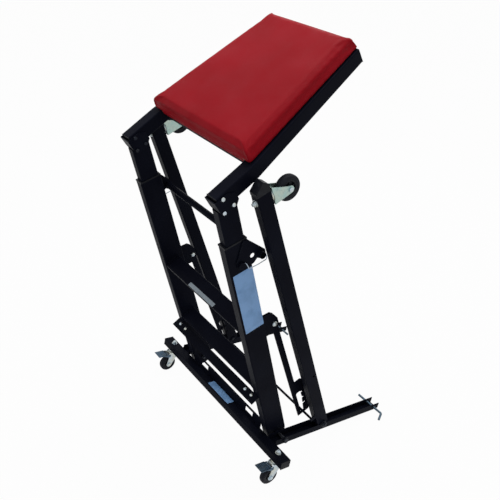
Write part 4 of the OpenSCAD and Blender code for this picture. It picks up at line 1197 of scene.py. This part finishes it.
@dataclass
class Base:
    """The caster bar, foot plate and channels, with the pivots and locking pins.

    Attributes:
        shop: Finishes and trees.
        tube_bend: Corner radius of the caster bar.
        fold: Outer radius of the channels' folds.
        bolt_r: Radius of the pivots' heads and nuts over their corners.
        bolt_t: Thickness of those heads and nuts.
        washer_r: Radius of their washers.
        rod_r: Radius of the pivots.
        foot_rod_out: How far the foot bolts stand out of their nuts.
        leg_rod_out: How far the legs' pivots stand out of theirs.
        leg_shank: Length of the legs' pivots behind the channel's face.
        pin_bend: Radius of the locking pins' bend.
        pin_handle: How far their handles reach outwards, backwards and down.
        bead_l: Length of the weld beads along the foot plate.
        bead_step: Distance between them.
        bead_edge: Distance of the first one from the plate's end.
        plate_x: Ends of the blank plate on the caster bar.
        plate_inset: Distance of the plate from the bar's edges.
        plate_t: Thickness of the plate.
    """

    shop: Workshop
    tube_bend: float = 0.0045
    fold: float = 0.0042
    bolt_r: float = 0.012
    bolt_t: float = 0.008
    washer_r: float = 0.0135
    rod_r: float = 0.007
    foot_rod_out: float = 0.005
    leg_rod_out: float = 0.0045
    leg_shank: float = 0.044
    pin_bend: float = 0.008
    pin_handle: tuple[float, float, float] = (0.014, 0.024, 0.017)
    bead_l: float = 0.028
    bead_step: float = 0.085
    bead_edge: float = 0.010
    plate_x: tuple[float, float] = (-0.082, 0.071)
    plate_inset: float = 0.005
    plate_t: float = 0.0004

    def build(self) -> None:
        """Builds every piece of the base."""
        shop = self.shop
        shop.steel("caster_bar", SteelWork(bend=self.tube_bend))
        shop.steel("caster_bar_plugs", SteelWork(edge=0.0009), "moulded")
        shop.steel("foot_plate", SteelWork(), "punched")
        shop.steel("foot_spacers", SteelWork(), "turned")
        for side in Side:
            shop.steel(f"channel_{side.word}", SteelWork(bend=self.fold, edge=0.0005), "folded")
            self._lock_pin(side)
        self._pivots()
        self._welds()
        self._plate()

    def _pivots(self) -> None:
        """The ladder's foot bolts and the legs' pivot bolts."""
        foot, leg = extent("foot_bolts", BASE).middle.yz, extent("leg_pivot_bolts", BASE).middle.yz
        outer = extent("channel_right", BASE).high.x
        inner = min(b.high.x for b in solids_of("pivot_nuts", BASE) if b.middle.x > 0)
        through = {"washer": self.washer_r, "shank": outer - inner + self.bolt_t}
        threaded = {"washer": self.washer_r, "rod_out": self.leg_rod_out, "shank": self.leg_shank}
        for name, x, at, outward, node, seed, more in (
                ("foot_bolt_heads", outer, foot, 1, "foot_bolts", 2, through),
                ("foot_nuts", inner, foot, -1, "pivot_nuts", 6, {"rod_out": self.foot_rod_out}),
                ("leg_pivot_ends", outer, leg, 1, "leg_pivot_bolts", 4, threaded)):
            fastener = Fastener(f"{name}_template", self.bolt_r, self.bolt_t, rod=self.rod_r, **more)
            seats = [Seat(BASE.point(s.value * x, *at), Vector((s.value * outward, 0, 0))) for s in Side]
            self.shop.fasten(name, "base", fastener, seats, [node], seed, self.shop.finishes.blued)

    def _lock_pin(self, side: Side) -> None:
        """A locking pin: a straight rod with its outer end bent back and down."""
        node = f"lock_pin_{side.word}"
        span = extent(node, BASE)
        radius = span.size.y / 2
        far, near = sorted((span.low.x, span.high.x), key=lambda x: x * side.value)
        y, z = span.middle.y, span.high.z - radius
        turn = near - side.value * radius
        out, back, down = self.pin_handle
        line = [BASE.point(far, y, z), BASE.point(turn, y, z),
                BASE.point(turn + side.value * out, y - back, z - down)]
        self.shop.bend_wire(f"{node}_rod", node, [line], radius, self.pin_bend, self.shop.finishes.slate,
                            "zinc", [node], 24)

    def _welds(self) -> None:
        """Beads along the foot plate and where the channels stand on the bar."""
        bar = extent("caster_bar", BASE)
        plate = extent("foot_plate", BASE)
        lines = []
        x = plate.low.x + self.bead_edge
        while x + self.bead_l < plate.high.x:
            lines.append([BASE.point(end, plate.low.y, bar.high.z) for end in (x, x + self.bead_l)])
            x += self.bead_step
        for side in Side:
            channel = extent(f"channel_{side.word}", BASE)
            for edge in (channel.low.x, channel.high.x):
                lines.append([BASE.point(edge, bar.high.y, z) for z in (channel.low.z + 0.004, bar.high.z)])
        self.shop.weld("base_welds", "base", lines)

    def _plate(self) -> None:
        """The blank plate on top of the caster bar."""
        bar = extent("caster_bar", BASE)
        low = Vector((self.plate_x[0], bar.low.y + self.plate_inset, bar.high.z))
        high = Vector((self.plate_x[1], bar.high.y - self.plate_inset, bar.high.z + self.plate_t))
        keep(box_piece("blank_plate_bar", low, high, BASE, 0.003), "base", self.shop.finishes.plate)


@dataclass
class Legs:
    """The two folding legs with their caps and the hook rod.

    Attributes:
        shop: Finishes and trees.
        tube_bend: Corner radius of the legs.
    """

    shop: Workshop
    tube_bend: float = 0.0045

    def build(self) -> None:
        """Builds every piece of the legs but their casters."""
        for side in Side:
            self.shop.steel(f"leg_{side.word}", SteelWork(bend=self.tube_bend))
        self.shop.steel("leg_caps", SteelWork(edge=0.0022), "moulded")
        self.shop.steel("hook_rod", SteelWork(edge=0.0008), "drawn")


@dataclass
class Ladder:
    """The ladder: uprights, treads, kick plate, brackets, struts and their fasteners.

    Attributes:
        shop: Finishes and trees.
        tube_bend: Corner radius of the uprights.
        fold: Outer radius of the treads' folds.
        kick_head_t: Height of the kick plate's bolt heads.
        strut_head_r: Radius of the struts' bolt heads and nuts.
        strut_head_t: Height of the struts' bolt heads and nuts.
        strut_rod_r: Radius of the struts' bolts.
        bead_inset: How far the beads stop short of a bracket's and a tread's corners.
        plate_low: Lowest Y and Z of the blank plate, in the ladder's frame.
        plate_high: Highest Y and Z of the blank plate.
        plate_t: Thickness of the blank plate and the grip strip.
        strip_x: Ends of the grip strip on the upper tread.
        strip_y: Its edges, from the tread's back edge.
    """

    shop: Workshop
    tube_bend: float = 0.0050
    fold: float = 0.0040
    kick_head_t: float = 0.0045
    strut_head_r: float = 0.009
    strut_head_t: float = 0.006
    strut_rod_r: float = 0.006
    bead_inset: float = 0.004
    plate_low: tuple[float, float] = (-0.037, 0.600)
    plate_high: tuple[float, float] = (0.041, 0.870)
    plate_t: float = 0.0004
    strip_x: tuple[float, float] = (-0.089, 0.086)
    strip_y: tuple[float, float] = (0.0015, 0.0175)

    def build(self) -> None:
        """Builds every piece of the ladder."""
        shop = self.shop
        for side in Side:
            shop.steel(f"outer_upright_{side.word}", SteelWork(bend=self.tube_bend))
            shop.steel(f"strut_{side.word}", SteelWork(edge=0.0007), "cut")
        for node in ("tread_upper", "tread_lower"):
            shop.steel(node, SteelWork(bend=self.fold, edge=0.0005), "folded")
        shop.steel("kick_plate", SteelWork(bend=0.0028, bend_from=0.3, edge=0.0005, steps=4), "folded")
        shop.steel("strut_brackets", SteelWork(), "cut")
        shop.steel("guide_collars", SteelWork(edge=0.0010), "moulded")
        shop.steel("release_pivots", SteelWork(edge=0.0012), "turned")
        self._bolts()
        self._welds()
        self._plates()

    def _bolts(self) -> None:
        """The kick plate's and the struts' bolts."""
        dome = Fastener("kick_bolt", 0.007, self.kick_head_t, hexed=False, rod=0.004, shank=0.012)
        seats = [Seat(LEVEL.point(b.middle.x, b.middle.y, b.high.z - self.kick_head_t), LEVEL.way(0, 0, 1))
                 for b in solids_of("kick_plate_bolts", LEVEL)]
        self.shop.fasten("kick_plate_bolt_heads", "ladder", dome, seats, ["kick_plate_bolts"], 1)
        bracket = next(b for b in solids_of("strut_brackets") if b.middle.x > 0)
        y, z = joint_point("strut_right_swing").yz
        head = Fastener("strut_bolt", self.strut_head_r, self.strut_head_t, hexed=False, washer=0.0105,
                        washer_t=0.0010, rod=self.strut_rod_r, shank=bracket.size.x)
        nut = Fastener("strut_nut", self.strut_head_r, self.strut_head_t, rod=self.strut_rod_r, rod_out=0.002)
        for name, fastener, x, way, node in (("heads", head, bracket.high.x, 1, ["strut_bolts"]),
                                             ("nuts", nut, bracket.low.x, -1, [])):
            seats = [Seat(Vector((s.value * x, y, z)), Vector((way * s.value, 0, 0))) for s in Side]
            self.shop.fasten(f"strut_bolt_{name}", "ladder", fastener, seats, node, 9)

    def _welds(self) -> None:
        """Beads at the treads' ends, along the strut brackets and under the kick plate."""
        lines = []
        inset = self.bead_inset
        upright = extent("outer_upright_right", LADDER)
        for node in ("tread_upper", "tread_lower"):
            span = extent(node, LEVEL)
            low, high = span.low.z + inset, span.high.z
            corners = [(span.low.y, low), (span.low.y, high), (span.high.y, high), (span.high.y, low)]
            lines += [[LEVEL.point(s.value * upright.low.x, y, z) for y, z in corners] for s in Side]
        bracket = next(b for b in solids_of("strut_brackets", LADDER) if b.middle.x > 0)
        kick = extent("kick_plate", LADDER)
        for side in Side:
            for x in (bracket.low.x, bracket.high.x):
                lines.append([LADDER.point(side.value * x, bracket.low.y, z)
                              for z in (bracket.low.z + inset, bracket.high.z - inset)])
            lines.append([LADDER.point(side.value * x, upright.low.y, kick.low.z)
                          for x in (upright.low.x + 1.5 * inset, upright.high.x - 1.5 * inset)])
        self.shop.weld("ladder_welds", "ladder", lines)

    def _plates(self) -> None:
        """The blank plate on the right upright and the grip strip on the upper tread."""
        outer = extent("outer_upright_right", LADDER).high.x
        low, high = Vector((outer, *self.plate_low)), Vector((outer + self.plate_t, *self.plate_high))
        keep(box_piece("blank_plate_upright", low, high, LADDER, 0.003), "ladder", self.shop.finishes.plate)
        span = extent("tread_upper", LEVEL)
        low = Vector((self.strip_x[0], span.low.y + self.strip_y[0], span.high.z))
        high = Vector((self.strip_x[1], span.low.y + self.strip_y[1], span.high.z + self.plate_t))
        keep(box_piece("grip_strip_tread", low, high, LEVEL, 0.002), "ladder", self.shop.finishes.strip)


@dataclass
class ReleaseGear:
    """The release bar with its two cranked plates and wire clips.

    Attributes:
        shop: Finishes and trees.
        wire_r: Radius of the clips' wire.
        wire_bend: Radius of its bends.
        clip: The wire's corners, Y and Z from the release's hinge.
    """

    shop: Workshop
    wire_r: float = 0.0016
    wire_bend: float = 0.006
    clip: tuple[tuple[float, float], ...] = (
        (0.012, 0.004), (0.019, -0.007), (0.024, -0.030), (0.060, -0.033), (0.096, -0.032), (0.0985, -0.016))

    def build(self) -> None:
        """Builds the release gear."""
        self.shop.steel("release_bar", SteelWork(edge=0.0014), "drawn")
        self.shop.steel("release_plates", SteelWork(), "cut")
        x = extent("release_plates").high.x + self.wire_r
        lines = [[RELEASE.point(side.value * x, y, z) for y, z in self.clip] for side in Side]
        self.shop.bend_wire("release_clips", "release", lines, self.wire_r, self.wire_bend,
                            self.shop.finishes.wire, "zinc", ["release_springs"], 14)


@dataclass
class Deck:
    """The deck's steel and board, and the cover's hems.

    Attributes:
        shop: Finishes and trees.
        inner_bend: Corner radius of the inner uprights.
        tube_bend: Corner radius of the rails.
        head_t: Height of the head bolts' domes with their gap, and of their nuts.
        hem: Width of the cover's hems under the board.
        hem_t: How far they stand out of the board.
        hem_slack: How far the back hem stops short of the board's sides.
        staple_gap: Rough distance from one staple to the next.
        staple_l: Length of a staple.
        staple_edge: Distance of the first and last staple from the hem's ends.
        staple_r: Radius of the staples' wire.
        bead_back: How far the beads at a cross member's front keep off the rails.
    """

    shop: Workshop
    inner_bend: float = 0.0042
    tube_bend: float = 0.0048
    head_t: float = 0.0045
    hem: float = 0.028
    hem_t: float = 0.0015
    hem_slack: float = 0.0045
    staple_gap: float = 0.045
    staple_l: float = 0.010
    staple_edge: float = 0.012
    staple_r: float = 0.0005
    bead_back: float = 0.0018

    def build(self) -> None:
        """Builds every piece of the deck but the cushion."""
        shop = self.shop
        for side in Side:
            shop.steel(f"inner_upright_{side.word}", SteelWork(bend=self.inner_bend))
            shop.steel(f"deck_rail_{side.word}", SteelWork(bend=self.tube_bend))
        shop.steel("head_brackets", SteelWork(), "cut")
        shop.steel("rail_caps", SteelWork(edge=0.0010), "moulded")
        shop.steel("deck_cross_members", SteelWork(bend=0.0024, edge=0.0004, steps=4), "formed")
        shop.steel("deck_board", SteelWork(edge=0.0008), "sawn")
        self._bolts()
        self._hems()
        self._welds()

    def _bolts(self) -> None:
        """The head brackets' bolts, domed outside and nutted inside."""
        outside, inside = [], []
        for solid in solids_of("head_bolts", DECK):
            s = 1 if solid.middle.x > 0 else -1
            back, out = sorted((solid.low.x, solid.high.x), key=lambda x: s * x)
            y, z = solid.middle.yz
            outside.append(Seat(DECK.point(out - s * self.head_t, y, z), Vector((s, 0, 0))))
            inside.append(Seat(DECK.point(back + s * self.head_t, y, z), Vector((-s, 0, 0))))
        head = Fastener("head_bolt", 0.0072, 0.0042, hexed=False)
        self.shop.fasten("head_bolt_domes", "deck", head, outside, ["head_bolts"], 2)
        self.shop.fasten("head_bolt_nuts", "deck", Fastener("head_nut", 0.007, self.head_t), inside, [], 4,
                         self.shop.finishes.blued)

    def _hems(self) -> None:
        """The vinyl drawn round the board's back and front edges, with its staples."""
        board = extent("deck_board", DECK)
        staples = []
        for word, y, way, half in (("back", board.low.y, 1, board.high.x - self.hem_slack),
                                   ("front", board.high.y, -1, front_half("deck_board"))):
            edges = sorted((y - way * self.hem_t, y + way * self.hem))
            low = Vector((-half, edges[0], board.low.z - self.hem_t))
            high = Vector((half, edges[1], board.high.z + 0.0002))
            piece = box_piece(f"cover_hem_{word}", low, high, DECK, 0.002)
            keep(piece, "deck", self.shop.finishes.vinyl, (), "red_vinyl")
            count = int(2 * half / self.staple_gap)
            run = 2 * (half - self.staple_edge) - self.staple_l
            for k in range(count + 1):
                x = -half + self.staple_edge + run * k / count
                staples.append([DECK.point(end, y + way * 0.6 * self.hem, low.z)
                                for end in (x, x + self.staple_l)])
        self.shop.bend_wire("cover_staples", "deck", staples, self.staple_r, 0.0, self.shop.finishes.wire,
                            "zinc", (), 8)

    def _welds(self) -> None:
        """Beads where the cross members meet the rails."""
        lines = []
        for solid in solids_of("deck_cross_members", DECK):
            for side in Side:
                for y, back in ((solid.low.y, 0.0), (solid.high.y, self.bead_back)):
                    x = side.value * (solid.high.x - back)
                    lines.append([DECK.point(x, y, z) for z in (solid.low.z + 0.003, solid.high.z - 0.002)])
        self.shop.weld("deck_welds", "deck", lines, 0.0022)


@dataclass
class Cushion:
    """The padded chest cushion: vinyl pulled over foam, as cloth under pressure.

    Attributes:
        shop: Finishes and trees.
        voxel: Size of the remesh.
        pressure: Pressure of the foam.
        frames: Steps of the simulation.
        cap: Furthest that a point may move.
        shrink: How much smaller the foam starts.
        held: Height up to which the cover is stapled fast.
        corner_steps: Faces round each corner of the plan.
        rings: The foam's sides from the board up: height, inset and corner radius.
    """

    shop: Workshop
    voxel: float = 0.005
    pressure: float = 4.0
    frames: int = 20
    cap: float = 0.007
    shrink: float = 0.002
    held: float = 0.007
    corner_steps: int = 6
    rings: tuple[tuple[float, float, float], ...] = (
        (0.000, 0.006, 0.004), (0.002, 0.001, 0.005), (0.006, 0.000, 0.005), (0.022, 0.001, 0.006),
        (0.036, 0.002, 0.006), (0.0415, 0.004, 0.007), (0.0450, 0.009, 0.010))

    def build(self) -> None:
        """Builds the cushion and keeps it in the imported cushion's place."""
        piece = self._foam()
        self._inflate(piece)
        self._smooth(piece)
        keep(piece, "deck", self.shop.finishes.vinyl, ["cushion"])

    def _outline(self, inset: float, corner: float) -> list[Vector]:
        """The cushion's plan, drawn in by inset, with round corners."""
        span = extent("cushion", DECK)
        back, front = span.size.x / 2 - self.shrink, front_half("cushion") - self.shrink
        s0, s1 = span.low.y + self.shrink, span.high.y - self.shrink
        corners = [Vector((back - inset, s0 + inset, 0)), Vector((front - inset, s1 - inset, 0)),
                   Vector((-front + inset, s1 - inset, 0)), Vector((-back + inset, s0 + inset, 0))]
        points = []
        for i, corner_at in enumerate(corners):
            before = (corners[i - 1] - corner_at).normalized()
            after = (corners[(i + 1) % 4] - corner_at).normalized()
            half = before.angle(after) / 2
            centre = corner_at + (before + after).normalized() * corner / math.sin(half)
            start = corner_at + before * corner / math.tan(half)
            first = start - centre
            sweep = math.pi - 2 * half
            points += [centre + Matrix.Rotation(sweep * k / self.corner_steps, 3, "Z") @ first
                       for k in range(self.corner_steps + 1)]
        return points

    def _foam(self) -> bpy.types.Object:
        """The foam's shape before the cover pulls it in."""
        span = extent("cushion", DECK)
        bm = bmesh.new()
        rings = []
        for height, inset, corner in self.rings:
            rings.append([bm.verts.new((p.x, p.y, span.low.z + height))
                          for p in self._outline(inset, corner)])
        for low, high in zip(rings, rings[1:]):
            for i in range(len(low)):
                j = (i + 1) % len(low)
                bm.faces.new([low[i], low[j], high[j], high[i]])
        bm.faces.new(list(reversed(rings[0])))
        bm.faces.new(rings[-1])
        bmesh.ops.recalc_face_normals(bm, faces=bm.faces)
        piece = to_piece(moved(bm, DECK.matrix), "chest_cushion")
        remesh = piece.modifiers.new("voxels", "REMESH")
        remesh.mode = "VOXEL"
        remesh.voxel_size = self.voxel
        return settle_modifiers(piece)

    def _inflate(self, piece: bpy.types.Object) -> None:
        """Lets the cover swell as cloth under pressure, then caps how far it moved."""
        inward = DECK.matrix.inverted()
        floor = extent("cushion", DECK).low.z
        rest = [v.co.copy() for v in piece.data.vertices]
        held = piece.vertex_groups.new(name="board")
        stapled = [i for i, co in enumerate(rest) if (inward @ co).z < floor + self.held]
        held.add(stapled, 1.0, "REPLACE")
        cloth = piece.modifiers.new("cover", "CLOTH")
        cloth.settings.vertex_group_mass = "board"
        cloth.settings.use_pressure = True
        cloth.settings.uniform_pressure_force = self.pressure
        cloth.settings.effector_weights.gravity = 0.0
        cloth.settings.quality = 6
        cloth.settings.tension_stiffness = 15
        cloth.settings.compression_stiffness = 15
        cloth.settings.shear_stiffness = 5
        cloth.settings.bending_stiffness = 0.6
        cloth.collision_settings.use_collision = False
        cloth.point_cache.frame_start, cloth.point_cache.frame_end = 1, self.frames
        for number in range(1, self.frames + 1):
            bpy.context.scene.frame_set(number)
        graph = bpy.context.evaluated_depsgraph_get()
        swollen = [v.co.copy() for v in piece.evaluated_get(graph).data.vertices]
        piece.modifiers.clear()
        bpy.context.scene.frame_set(1)
        for vert, start, end in zip(piece.data.vertices, rest, swollen):
            step = end - start
            vert.co = start + step * min(1.0, self.cap / max(step.length, TINY))

    @staticmethod
    def _smooth(piece: bpy.types.Object) -> None:
        """Relaxes the voxels' steps and adds one subdivision."""
        relax = piece.modifiers.new("relax", "SMOOTH")
        relax.factor, relax.iterations = 0.5, 4
        fine = piece.modifiers.new("fine", "SUBSURF")
        fine.levels = fine.render_levels = 1
        settle_modifiers(piece)
        piece.data.shade_smooth()


@dataclass
class Studio:
    """Plain floor, soft lamps and the camera at the photograph's angle.

    The camera's place and turn are those that the uprights, rails and casters give.

    Attributes:
        eye: The camera's place in the ladder's frame.
        rows: The camera's right, down and forward ways in the ladder's frame.
        focal_px: Focal length for an image of frame_px pixels.
        frame_px: Side of the image.
        sensor: Width of the camera's film, in millimetres.
        far: Furthest distance that the camera sees.
        floor_half: Half the floor's side.
        floor_white: Share of plain white in what the camera sees of the floor.
        ambient: The surround's strength on the stand.
        aim: The point that every lamp faces.
        lamps: Each lamp's name, place, power in watts and side.
    """

    eye: tuple[float, float, float] = (1.78322535, -0.77032428, 2.27974083)
    rows: tuple[tuple[float, float, float], ...] = (
        (0.5808122, 0.7990013, -0.1557374), (0.4382645, -0.4681447, -0.7673101),
        (-0.6859894, 0.3774089, -0.6220780))
    focal_px: float = 668.5866
    frame_px: float = 500.0
    sensor: float = 36.0
    far: float = 60.0
    floor_half: float = 30.0
    floor_white: float = 0.97
    ambient: float = 0.45
    aim: tuple[float, float, float] = (0.0, 0.0, 0.8)
    lamps: tuple[tuple[str, tuple[float, float, float], float, float], ...] = (
        ("key", (-0.6, 0.6, 4.6), 88.0, 2.8), ("fill", (3.4, -2.6, 2.6), 9.0, 2.4),
        ("front", (1.5, 4.0, 2.0), 8.0, 2.4))

    def build(self) -> None:
        """Builds the studio."""
        self._camera()
        self._floor()
        self._world()
        for name, at, watts, side in self.lamps:
            self._lamp(name, at, watts, side)

    def _camera(self) -> None:
        """The camera, aimed by its three ways."""
        data = bpy.data.cameras.new("photo_camera")
        camera = bpy.data.objects.new("photo_camera", data)
        bpy.context.scene.collection.objects.link(camera)
        right, down, forward = (Vector(row) for row in self.rows)
        turn = Matrix((right, -down, -forward)).transposed()
        aim = LADDER.matrix @ Matrix.Translation(self.eye) @ turn.to_4x4()
        camera.location = aim.to_translation()
        camera.rotation_euler = aim.to_euler()
        data.sensor_width = self.sensor
        data.lens = self.focal_px / self.frame_px * self.sensor
        data.clip_end = self.far
        bpy.context.scene.camera = camera

    def _white(self, name: str) -> bpy.types.Material:
        """A matt grey-white floor that keeps shadows but shows almost plain white to the camera."""
        s = Shader(name)
        mottle = s.blend(s.between(s.noise(3, 3), 0.4, 0.6), (0.60, 0.60, 0.61), (0.62, 0.62, 0.63))
        s.feed(Base_Color=mottle, Roughness=0.9, Specular_IOR_Level=0.1)
        glow = s.add("ShaderNodeEmission", {"Color": (1.0, 1.0, 1.0), "Strength": 1.0})
        share = s.maths("MULTIPLY", s.seen(), self.floor_white)
        mix = s.add("ShaderNodeMixShader", {0: share, 1: s.surface.outputs[0], 2: glow.outputs[0]})
        s.join(mix.outputs[0], s.out.inputs["Surface"])
        return s.material

    def _floor(self) -> None:
        """A wide floor under the stand."""
        bm = bmesh.new()
        bmesh.ops.create_grid(bm, x_segments=2, y_segments=2, size=self.floor_half)
        floor = to_piece(bm, "studio_floor")
        floor.data.materials.append(self._white("studio_white"))

    def _world(self) -> None:
        """An even white surround, plain white to the camera and in reflections."""
        world = bpy.data.worlds.new("surround")
        world.use_nodes = True
        nodes = NodeWriter(world.node_tree)
        back = nodes.tree.nodes["Background"].inputs
        level = nodes.add("ShaderNodeMapRange",
                          {"Value": nodes.seen(), "To Min": self.ambient, "To Max": 1.0})
        nodes.join((1.0, 1.0, 1.0), back["Color"])
        nodes.join(level.outputs[0], back["Strength"])
        bpy.context.scene.world = world

    def _lamp(self, name: str, at: tuple[float, float, float], watts: float, side: float) -> None:
        """A square soft lamp that faces the stand's middle."""
        data = bpy.data.lights.new(name, "AREA")
        data.energy, data.size = watts, side
        lamp = bpy.data.objects.new(name, data)
        lamp.location = at
        lamp.rotation_euler = (Vector(self.aim) - Vector(at)).to_track_quat("-Z", "Y").to_euler()
        bpy.context.scene.collection.objects.link(lamp)


def main() -> None:
    """Builds the studio and every sub-assembly, in order."""
    logging.basicConfig(level=logging.INFO, format="%(name)s: %(message)s")
    bpy.context.scene.view_settings.view_transform = "Standard"
    Studio().build()
    shop = Workshop()
    for part in (Base, Legs, Casters, Ladder, ReleaseGear, Deck, Cushion):
        LOG.info("building %s", part.__name__)
        part(shop).build()


if __name__ == "__main__":
    main()
